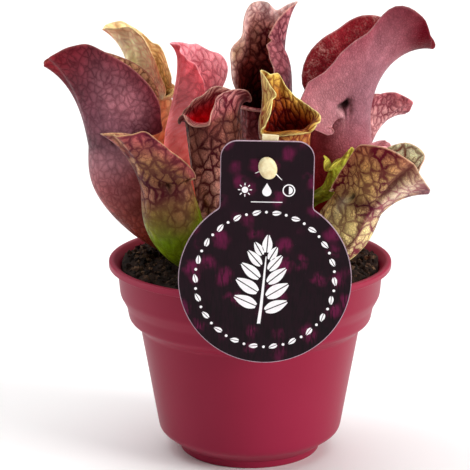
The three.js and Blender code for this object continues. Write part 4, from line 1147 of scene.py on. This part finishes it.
def drain_cutter(finish):
    """The pegs that the drain holes are cut with."""
    work = bmesh.new()
    for i in range(DRAIN_HOLES):
        angle = i / DRAIN_HOLES * TAU
        x, y = DRAIN_CIRCLE * math.cos(angle), DRAIN_CIRCLE * math.sin(angle)
        place = Matrix.Translation((x, y, DRAIN_HEIGHT)) @ Matrix.Rotation(DRAIN_TURN, 4, "Z")
        bmesh.ops.create_cone(work, cap_ends=True, segments=DRAIN_SIDES, radius1=DRAIN_RADIUS,
                              radius2=DRAIN_RADIUS, depth=DRAIN_DEPTH, matrix=place)
    pegs = bpy.data.meshes.new("drain_holes")
    work.to_mesh(pegs)
    work.free()
    pegs.materials.append(finish)
    return in_scene("drain_holes", pegs)


def make_pot():
    finish = pot_finish()
    pot = turned("pot_shell", rounded(POT_OUTLINE, 0.5), POT_SIDES, finish)
    cutter = drain_cutter(finish)
    cut = pot.modifiers.new("drain", "BOOLEAN")
    cut.object = cutter
    cut.solver = "EXACT"
    pot = settled(pot, "pot_shell")
    bpy.data.objects.remove(cutter)
    stand_for(pot, "pot")


make_pot()


# Compost, with crumbs and fibres

SOIL_EDGE = 62
SOIL_RISE = 3.4
SOIL_RADIUS = 40.8
SOIL_FADE = 41                  # radius at which the heap has come down to the edge
SOIL_RINGS, SOIL_SIDES = 96, 200
SOIL_UNDER = [(0.995, 57), (0.94, 50.5), (0.7, 50)]   # under the top: share of radius, height
SOIL_CALM = 0.4                 # share by which the lumps are lower at the edge
CRUMBS_WITHIN, FIBRES_WITHIN = 0.0396, 0.0352   # metres from the middle


def rough(x, y, size, seed, waves=22):
    """Even random roughness of about one unit, made of crossing waves of one rough size."""
    draw = np.random.default_rng(seed)
    total = np.zeros_like(x)
    for _ in range(waves):
        angle, phase = draw.uniform(0, TAU, 2)
        pace = TAU / (size * draw.uniform(0.6, 1.6))
        total += np.sin(pace * (x * math.cos(angle) + y * math.sin(angle)) + phase)
    return total / math.sqrt(waves)


def soil_height(x, y):
    r = np.hypot(x, y) / SOIL_FADE
    heap = SOIL_RISE * (1 - r * r)
    lumps = (0.7 * np.sin(0.33 * x + 0.21 * y + 1) + 0.6 * np.sin(0.27 * y - 0.41 * x)
             + 0.4 * np.sin(0.74 * x + 0.3) * np.sin(0.66 * y + 2))
    detail = 0.45 * rough(x, y, 6, 3) + 0.32 * rough(x, y, 2.6, 4) + 0.16 * rough(x, y, 1.1, 5)
    return SOIL_EDGE + heap + lumps * (1 - SOIL_CALM * r) + detail


def soil_finish():
    material, tree, shader = new_material("peat_compost", 0.95, Specular_IOR_Level=0.25)
    place = object_place(tree)
    coarse = noise(tree, place, 260.0, 4.0, 0.6)
    fine = noise(tree, place, 1500.0, 4.0, 0.7)
    tint = node(tree, "ShaderNodeAttribute", {"attribute_name": "shade"}).outputs["Fac"]
    earth = ramp(tree, coarse, [(0.3, paint((26, 17, 12))), (0.7, paint((78, 58, 46))),
                                (0.52, paint((48, 33, 26)))])
    bits = ramp(tree, tint, [(0.0, paint((24, 16, 12))), (1.0, paint((150, 118, 90))),
                             (0.55, paint((54, 37, 28))), (0.9, paint((92, 67, 50)))])
    loose = fade(tree, tint, 0.0, 0.01)
    colour = mixed(tree, loose, earth, bits)
    colour = mixed(tree, fade(tree, fine, 0.35, 0.65, 0.0, 0.5), colour, paint((14, 9, 7)))
    feed(tree, shader.inputs["Base Color"], colour)
    relief(tree, shader, fine, 0.0004, 0.9)
    return material


def crumb_shape(tree, size):
    """A small ball, pushed out of round."""
    ball = node(tree, "GeometryNodeMeshIcoSphere", Radius=size, Subdivisions=2)
    push = wander(tree, position(tree), 900.0, (0.0022, 0.0022, 0.0016), 1.0)
    return node(tree, "GeometryNodeSetPosition", Geometry=ball.outputs[0], Offset=push).outputs[0]


def fibre_shape(tree, length, thickness):
    """A thin thread that sways along its length."""
    far = node(tree, "ShaderNodeCombineXYZ", X=length, Z=0.0006)
    thread = node(tree, "GeometryNodeCurvePrimitiveLine", End=far.outputs[0])
    steps = node(tree, "GeometryNodeResampleCurve", Curve=thread.outputs[0], Count=7)
    sway = wander(tree, position(tree), 260.0, (0.0, 0.006, 0.003), 1.0)
    bent = node(tree, "GeometryNodeSetPosition", Geometry=steps.outputs[0], Offset=sway)
    ring = node(tree, "GeometryNodeCurvePrimitiveCircle", Resolution=4, Radius=thickness)
    return node(tree, "GeometryNodeCurveToMesh", Curve=bent.outputs[0],
                Profile_Curve=ring.outputs[0], Fill_Caps=True).outputs[0]


def scatter_tree():
    """Crumbs and fibres strewn over the top of the compost."""
    tree, keys, given = new_tree("strewn_peat", "Bed", [
        ("Crumbs", "Float", 300000.0), ("Crumb size", "Float", 0.001),
        ("Fibres", "Float", 60000.0), ("Fibre length", "Float", 0.005),
        ("Fibre thickness", "Float", 0.00012), ("Seed", "Int", 7)], "Top")
    facing = height_of(tree, node(tree, "GeometryNodeInputNormal").outputs[0])
    flat = node(tree, "FunctionNodeCompare", {"data_type": "FLOAT", "operation": "GREATER_THAN"},
                A=facing, B=0.35).outputs[0]
    level = vector(tree, "MULTIPLY", position(tree), (1, 1, 0))
    out_from_middle = node(tree, "ShaderNodeVectorMath", {"operation": "LENGTH"})
    feed(tree, out_from_middle.inputs[0], level)

    def drawn(kind, low, high, seed):
        """A random value between low and high for each point."""
        made = node(tree, "FunctionNodeRandomValue", {"data_type": kind}, Seed=seed)
        first = {"FLOAT": 2, "FLOAT_VECTOR": 0}[kind]
        feed_all(tree, made.inputs[first:first + 2], (low, high))
        return made.outputs[1 if kind == "FLOAT" else 0]

    def strew(density, shape, seed, low, high, lie, reach):
        """Copies of the shape, low to high in size, tipped up to lie radians, within reach."""
        inside = node(tree, "FunctionNodeCompare", {"data_type": "FLOAT", "operation": "LESS_THAN"},
                      A=out_from_middle.outputs["Value"], B=reach).outputs[0]
        chosen = node(tree, "FunctionNodeBooleanMath", {"operation": "AND"})
        feed_all(tree, chosen.inputs, (flat, inside))
        points = node(tree, "GeometryNodeDistributePointsOnFaces", Mesh=given["Bed"],
                      Selection=chosen.outputs[0], Density=density,
                      Seed=number(tree, "ADD", given["Seed"], float(seed)))
        spin = drawn("FLOAT_VECTOR", (-lie, -lie, 0), (lie, lie, TAU), seed + 1)
        size = drawn("FLOAT", low, high, seed + 2)
        put = node(tree, "GeometryNodeInstanceOnPoints", Points=points.outputs[0],
                   Instance=shape, Scale=size, Rotation=spin)
        shade = node(tree, "GeometryNodeStoreNamedAttribute",
                     {"data_type": "FLOAT", "domain": "INSTANCE"}, Geometry=put.outputs[0],
                     Name="shade")
        feed(tree, next(s for s in shade.inputs if s.name == "Value" and s.enabled),
             drawn("FLOAT", 0.05, 1.0, seed + 3))
        return node(tree, "GeometryNodeRealizeInstances", Geometry=shade.outputs[0]).outputs[0]

    crumbs = strew(given["Crumbs"], crumb_shape(tree, given["Crumb size"]),
                   seed=11, low=0.25, high=1.15, lie=3.0, reach=CRUMBS_WITHIN)
    fibre = fibre_shape(tree, given["Fibre length"], given["Fibre thickness"])
    fibres = strew(given["Fibres"], fibre,
                   seed=31, low=0.4, high=1.3, lie=0.35, reach=FIBRES_WITHIN)
    whole = tree.nodes.new("GeometryNodeJoinGeometry")
    for part in (fibres, crumbs, given["Bed"]):
        feed(tree, whole.inputs[0], part)
    end_tree(tree, whole.outputs[0], given["Finish"])
    return tree, keys


def make_compost():
    finish = soil_finish()
    share = np.linspace(0, 1, SOIL_RINGS + 1)[1:]
    r = 0.5 * (SOIL_RADIUS * np.sqrt(share)) + 0.5 * SOIL_RADIUS * share
    angle = np.arange(SOIL_SIDES) / SOIL_SIDES * TAU
    x, y = np.outer(r, np.cos(angle)), np.outer(r, np.sin(angle))
    top = np.stack([x, y, soil_height(x, y)], -1)
    under = [np.stack([k * x[-1], k * y[-1], np.full(SOIL_SIDES, z)], -1) for k, z in SOIL_UNDER]
    peak = float(soil_height(np.zeros(1), np.zeros(1))[0])
    points = np.concatenate([top.reshape(-1, 3), *under,
                             [[0, 0, peak], [0, 0, SOIL_UNDER[-1][1]]]])
    rows = SOIL_RINGS + len(under)
    quads = row_quads(rows, SOIL_SIDES)
    j = np.arange(SOIL_SIDES)
    k = (j + 1) % SOIL_SIDES
    last = (rows - 1) * SOIL_SIDES
    middle, bottom = len(points) - 2, len(points) - 1
    fans = np.concatenate([np.stack([np.full(SOIL_SIDES, middle), j, k], 1),
                           np.stack([np.full(SOIL_SIDES, bottom), last + k, last + j], 1)])
    bed = mesh_object("compost", points * MM, quads.tolist() + fans.tolist(), finish)
    tree, keys = scatter_tree()
    grow(bed, tree, keys, {"Finish": finish})
    stand_for(settled(bed, "compost"), "soil")


make_compost()


# Crown

CROWN_OUTLINE = [(0, 55), (3.4, 56, 1.5), (4.9, 60.5, 2), (4.4, 65.5, 2), (1.7, 67.6, 0.8),
                 (1.9, 68.4, 0.6), (1.75, 70.6, 1.2), (1.1, 73, 1), (0, 75)]
CROWN_SIDES = 48
BUD_FROM, LEAN_FROM = 68, 66    # heights where the lumps end and the lean starts
LUMP, LUMP_FADE = 0.28, 4       # how lumpy the crown is, and the height over which that ends
BUD_LEAN, BUD_SHIFT = 0.1, 0.3


def crown_finish():
    material, tree, shader = new_material("rhizome_bark", 0.8)
    place = object_place(tree)
    rings = noise(tree, vector(tree, "MULTIPLY", place, (1, 1, 3)), 420.0, 4.0, 0.6)
    colour = ramp(tree, rings, [(0.3, paint((58, 34, 24))), (0.7, paint((132, 96, 66)))])
    bud = fade(tree, height_of(tree, place), 0.0672, 0.069)
    feed(tree, shader.inputs["Base Color"], mixed(tree, bud, colour, paint((150, 150, 62))))
    relief(tree, shader, rings, 0.0006, 0.9)
    return material


def make_crown():
    crown = turned("rhizome_crown", rounded(CROWN_OUTLINE, 1), CROWN_SIDES, crown_finish())
    for v in crown.data.vertices:
        x, y, z = v.co / MM
        turn = math.atan2(y, x)
        lump = 0.35 * math.sin(3 * turn + 0.7 * z) + 0.2 * math.sin(5 * turn + 1.3 * z)
        scale = 1 + lump * min(1, max(0, (BUD_FROM - z) / LUMP_FADE)) * LUMP
        lean = max(0, z - LEAN_FROM) * BUD_LEAN
        v.co = MM * Vector((x * scale + 0.5 * min(1, lean * 2),
                            y * scale + 0.5 * lean + BUD_SHIFT, z))
    stand_for(crown, "crown")


make_crown()


# Label card

CARD_X, CARD_FRONT, CARD_THICK = 4.6, -46.1, 0.75
DISC_RADIUS, DISC_HEIGHT = 25.5, 68.6
TAB_HALF, TAB_TOP, TAB_CORNER, TAB_FILLET = 13.6, 110.3, 5, 1.6
BUTTON_X, BUTTON_HEIGHT = 4.7, 102.5
HOLE_HALF_WIDTH, HOLE_HALF_HEIGHT = 1.9, 2.3
CARD_ROLL = 1                   # degrees about the button
INK_THICK, INK_LIFT = 0.05, 0.06   # of the print's marks, and how far they lie before the card
PRINT_THICK, PRINT_LIFT, PRINT_MARGIN, HOLE_MARGIN = 0.06, 0.02, 0.16, 0.1
CARD_BEVEL = 0.08
WREATH = 22                     # leaves and dots in the ring
DOT_OUT, DOT_RADIUS = 20.6, 0.42
LEAF_PLACE, LEAF_TURN, LEAF_SIZE, LEAF_RIB = (-1.3, 20.2), 14, (3.0, 1.5), 0.1
STEM_FOOT = -13.4               # heights here and below are from the disc's middle
SIGN_HEIGHT, SIGN_SPACE = 27.2, 6.4


def arc(cx, cy, radius, start, end, steps):
    """Points round a centre, from one bearing in degrees to another."""
    turns = [math.radians(start + (end - start) * i / steps) for i in range(steps + 1)]
    return [(cx + radius * math.cos(turn), cy + radius * math.sin(turn)) for turn in turns]


def keyhole(inset):
    """The card's outline about the disc's middle, drawn in from its edge by an inset."""
    radius, half = DISC_RADIUS - inset, TAB_HALF - inset
    top, corner = TAB_TOP - DISC_HEIGHT - inset, TAB_CORNER - inset
    fillet = TAB_FILLET + inset
    join_y = math.sqrt((radius + fillet) ** 2 - (half + fillet) ** 2)
    join = math.degrees(math.atan2(join_y, half + fillet))
    out = arc(half - corner, top - corner, corner, 0, 90, 12)
    out += arc(corner - half, top - corner, corner, 90, 180, 12)
    out += arc(-half - fillet, join_y, fillet, 0, -join, 6)
    out += arc(0, 0, radius, 180 - join, 360 + join, 120)
    out += arc(half + fillet, join_y, fillet, 180 + join, 180, 6)
    return out


def flat_piece(name, loops, finish, thick, bevel=0.0):
    """A flat sheet with holes, lying in XY about the disc's middle, from closed outlines."""
    curve = bpy.data.curves.new(name, "CURVE")
    curve.dimensions = "2D"
    curve.fill_mode = "BOTH"
    curve.extrude = (thick / 2 - bevel) * MM
    curve.bevel_depth = bevel * MM
    curve.bevel_resolution = 1
    for loop in loops:
        spline = curve.splines.new("POLY")
        spline.points.add(len(loop) - 1)
        for point, (x, y) in zip(spline.points, loop):
            point.co = (x * MM, y * MM, 0, 1)
        spline.use_cyclic_u = True
    curve.materials.append(finish)
    piece = settled(in_scene(name, curve), name)
    work = bmesh.new()
    work.from_mesh(piece.data)
    bmesh.ops.remove_doubles(work, verts=work.verts, dist=1e-7)
    bmesh.ops.recalc_face_normals(work, faces=work.faces)
    work.to_mesh(piece.data)
    work.free()
    return piece


def at_button(degrees, depth=0.0):
    """Turns a shape about the button's axis and moves it there, at this depth."""
    return (Matrix.Translation((BUTTON_X * MM, depth * MM, BUTTON_HEIGHT * MM))
            @ Matrix.Rotation(math.radians(degrees), 4, "Y"))


def upright():
    return Matrix.Rotation(math.radians(90), 4, "X")


def hung(piece, depth):
    """Turns the sheet upright, with its middle at this depth, and hangs it on the button."""
    from_button = Matrix.Translation(((CARD_X - BUTTON_X) * MM, depth * MM,
                                      (DISC_HEIGHT - BUTTON_HEIGHT) * MM))
    piece.data.transform(at_button(CARD_ROLL) @ from_button @ upright())
    return piece


def button_hole(wider):
    cx, cy = BUTTON_X - CARD_X, BUTTON_HEIGHT - DISC_HEIGHT
    return [(cx + (HOLE_HALF_WIDTH + wider) * math.cos(i / 40 * TAU),
             cy + (HOLE_HALF_HEIGHT + wider) * math.sin(i / 40 * TAU)) for i in range(40)]


def shifted(loop, x, y, turn):
    """The outline turned by so many degrees and moved."""
    c, s = math.cos(math.radians(turn)), math.sin(math.radians(turn))
    return [(x + c * u - s * v, y + s * u + c * v) for u, v in loop]


def half_leaf(length, width, side, rib=0.16):
    """One half of a pointed leaf beside its bare midrib, growing along +X."""
    steps = 14
    edge = [(length * i / steps, side * width / 2 * math.sin(math.pi * (i / steps) ** 0.8) ** 0.9)
            for i in range(1, steps)]
    outer = [(x, y) for x, y in edge if abs(y) > rib]
    return [(outer[0][0], side * rib)] + outer + [(outer[-1][0], side * rib)]


def whole_leaf(length, width, x, y, turn, rib=0.16):
    """Both halves of a leaf whose foot is at x and y, turned by so many degrees."""
    return [shifted(half_leaf(length, width, side, rib), x, y, turn) for side in (1, -1)]


def sprig():
    """An upright sprig: a stem with five pairs of leaves and one at its tip."""
    def sway(y):
        """How far to the right the stem stands at this height."""
        return 0.16 * (y - STEM_FOOT) ** 0.8 - 1.6

    stem = [(sway(y), y, w) for y, w in ((STEM_FOOT, 1.0), (-8, 0.85), (-2, 0.7), (4, 0.5),
                                         (7.2, 0.25))]
    loops = [[(x - w / 2, y) for x, y, w in stem] + [(x + w / 2, y) for x, y, w in reversed(stem)]]
    for y, length, width, lean in ((-9.6, 8.2, 3.6, 24), (-5.4, 8.6, 3.9, 32), (-1.2, 8.0, 3.4, 40),
                                   (2.7, 6.8, 2.9, 49), (5.9, 5.2, 2.5, 60)):
        for turn, hand, lift in ((lean, 1, 0.0), (180 - lean, -1, 1.4)):
            loops += whole_leaf(length, width, sway(y) + hand * 0.85, y + lift, turn)
    return loops + whole_leaf(6.2, 3.0, 0.3, 8.0, 86)


def care_signs():
    """A sun, a drop and a half-shaded disc, a thin rule under them, and tears by the hole."""
    ray = [(1.35, -0.17), (2.05, -0.12), (2.05, 0.12), (1.35, 0.17)]
    sun = [arc(-SIGN_SPACE, SIGN_HEIGHT, 0.95, 0, 345, 23)]
    sun += [shifted(ray, -SIGN_SPACE, SIGN_HEIGHT, 45 * i) for i in range(8)]
    drop = [(0.0, 29.3)] + arc(0, 26.7, 1.35, 28, -208, 22)
    half = [arc(SIGN_SPACE, SIGN_HEIGHT, radius, start, end, steps) for radius, start, end, steps
            in ((1.85, 0, 352, 44), (1.5, 0, 352, 44), (1.15, -90, 90, 16))]
    rule = [(-4.6, 23.5), (4.6, 23.5), (4.6, 23.75), (-4.6, 23.75)]
    tears = [[(2.0, 32.3), (4.3, 30.2), (4.35, 30.35), (2.3, 32.6)],
             [(-2.1, 33.0), (-3.6, 32.2), (-3.5, 32.1), (-1.9, 32.7)]]
    return sun + [drop] + half + [rule] + tears


def ring_tree():
    tree, keys, given = new_tree("ring_of_marks", "Mark",
                                 [("Count", "Int", 20), ("Start", "Float", 0.0)], "Ring")
    spots = node(tree, "GeometryNodeMeshLine", Count=given["Count"], Offset=(0, 0, 0))
    turn = number(tree, "MULTIPLY", node(tree, "GeometryNodeInputIndex").outputs[0],
                  number(tree, "DIVIDE", TAU, given["Count"]))
    spin = node(tree, "ShaderNodeCombineXYZ", Z=number(tree, "ADD", given["Start"], turn))
    put = node(tree, "GeometryNodeInstanceOnPoints", Points=spots.outputs[0],
               Instance=given["Mark"], Rotation=spin.outputs[0])
    end_tree(tree, put.outputs[0], given["Finish"])
    return tree, keys


def card_finish():
    """Dark print: soft plum blooms crossed by upright streaks, with a few pale specks."""
    material, tree, shader = new_material("aubergine_print", 0.5, Specular_IOR_Level=0.1)
    place = object_place(tree)
    soft = noise(tree, place, 210.0, 3.0, 0.55)
    ripple = node(tree, "ShaderNodeTexNoise", Vector=place, Scale=300.0).outputs["Color"]
    blob_place = vector(tree, "ADD", place, vector(tree, "MULTIPLY", ripple, (0.003, 0.003, 0.003)))
    blob = node(tree, "ShaderNodeTexVoronoi", {"feature": "SMOOTH_F1"}, Vector=blob_place,
                Scale=150.0, Smoothness=0.5).outputs["Distance"]
    streak = noise(tree, vector(tree, "MULTIPLY", place, (1.0, 1.0, 0.16)), 1500.0, 2.0, 0.6)
    bloom = number(tree, "MULTIPLY", fade(tree, blob, 0.46, 0.12), fade(tree, soft, 0.34, 0.5))
    colour = mixed(tree, bloom, paint((27, 10, 19)), paint((92, 18, 56)))
    lines = number(tree, "MULTIPLY", fade(tree, streak, 0.46, 0.62),
                   fade(tree, height_of(tree, place), 0.062, 0.085, 0.85, 0.3))
    colour = mixed(tree, lines, colour, paint((18, 9, 14)))
    speck = fade(tree, noise(tree, place, 2600.0, 1.0), 0.79, 0.83, 0.0, 0.35)
    colour = mixed(tree, speck, colour, paint((190, 150, 170)))
    feed(tree, shader.inputs["Base Color"], colour)
    feed(tree, shader.inputs["Roughness"], fade(tree, soft, 0.3, 0.7, 0.42, 0.58))
    return material


def stock_finish(name, light, dark, roughness):
    """Pale card stock, ink or moulded cream plastic, a little uneven."""
    material, tree, shader = new_material(name, roughness)
    cloud = noise(tree, object_place(tree), 520.0, 4.0, 0.6)
    feed(tree, shader.inputs["Base Color"],
         mixed(tree, fade(tree, cloud, 0.38, 0.68), paint(light), paint(dark)))
    relief(tree, shader, cloud, 0.00012, 0.5)
    return material


def make_label():
    stock = stock_finish("pale_stock", (176, 150, 164), (150, 122, 138), 0.6)
    ink = stock_finish("white_ink", (246, 243, 245), (236, 230, 234), 0.55)
    sheet = flat_piece("label_sheet", [keyhole(0), button_hole(0)], stock, CARD_THICK, CARD_BEVEL)
    stand_for(hung(sheet, CARD_FRONT + CARD_THICK / 2), "label_card")
    face = flat_piece("label_print", [keyhole(PRINT_MARGIN), button_hole(HOLE_MARGIN)],
                      card_finish(), PRINT_THICK)
    add_to(hung(face, CARD_FRONT - PRINT_LIFT))
    signs = flat_piece("label_signs", sprig() + care_signs(), ink, INK_THICK)
    add_to(hung(signs, CARD_FRONT - INK_LIFT))
    tree, keys = ring_tree()
    dot = [arc(0, DOT_OUT, DOT_RADIUS, 0, 330, 11)]
    small_leaf = whole_leaf(*LEAF_SIZE, *LEAF_PLACE, LEAF_TURN, LEAF_RIB)
    for name, mark, start in (("label_dots", dot, 0.0),
                              ("label_wreath", small_leaf, math.pi / WREATH)):
        ring = flat_piece(name, mark, ink, INK_THICK)
        grow(ring, tree, keys, {"Count": WREATH, "Start": start, "Finish": ink})
        add_to(hung(settled(ring, name), CARD_FRONT - INK_LIFT))


make_label()


# Stake and its button

# The stake's front from its foot in the soil to its top, as depth and height
STAKE_FRONT = [(-30.8, 28), (-36.6, 57), (-41.2, 80), (-44.2, 93), (-45.05, 99), (-45.05, 111.8)]
STAKE_BEND, STAKE_BEVEL = 3.0, 0.3
STAKE_WIDTH, STAKE_THICK, STAKE_LEAN = 4.8, 1.7, 5
# Radius and height above the card of each corner of the button, up from its neck in the stake
BUTTON_OUTLINE = [(0, -2.9), (1.6, -2.9, 0.1), (1.6, 0, 0.1), (2.6, 0, 0.25), (2.72, 0.7, 0.5),
                  (2.1, 1.5, 0.9), (0, 1.8)]
BUTTON_SIDES, BUTTON_STRETCH = 64, 1.26
BUTTON_TURN = -18               # degrees that the oval leans over
BUTTON_PROUD = 0.3              # gap between the button's head and the card


def stake_section():
    """The strip's section with bevelled corners, as places across and into its thickness."""
    half, deep, bevel = STAKE_WIDTH / 2, STAKE_THICK, STAKE_BEVEL
    return [(half - bevel, 0), (half, bevel), (half, deep - bevel), (half - bevel, deep),
            (bevel - half, deep), (-half, deep - bevel), (-half, bevel), (bevel - half, 0)]


def make_leg(finish):
    path = np.array(rounded(STAKE_FRONT, STAKE_BEND, 5))
    section = stake_section()
    n = len(section)
    points = []
    for i, (y, z) in enumerate(path):
        along = path[min(i + 1, len(path) - 1)] - path[max(i - 1, 0)]
        along = along / np.linalg.norm(along)
        points += [(x, y + d * along[1], z - BUTTON_HEIGHT - d * along[0]) for x, d in section]
    last = (len(path) - 1) * n
    ends = [range(n), range(last + n - 1, last - 1, -1)]
    quads = row_quads(len(path), n)
    leg = mesh_object("stake_leg", np.array(points) * MM, quads.tolist() + ends, finish,
                      smooth=False)
    face_outward(leg.data)
    leg.data.transform(at_button(STAKE_LEAN))
    stand_for(leg, "label_stake")


def make_button(finish):
    button = turned("label_button", rounded(BUTTON_OUTLINE, 0.5, 5), BUTTON_SIDES, finish)
    button.data.transform(at_button(BUTTON_TURN, CARD_FRONT - BUTTON_PROUD) @ upright()
                          @ Matrix.Diagonal((1, BUTTON_STRETCH, 1, 1)))
    add_to(button)


cream = stock_finish("cream_plastic", (240, 228, 186), (222, 200, 150), 0.42)
make_leg(cream)
make_button(cream)
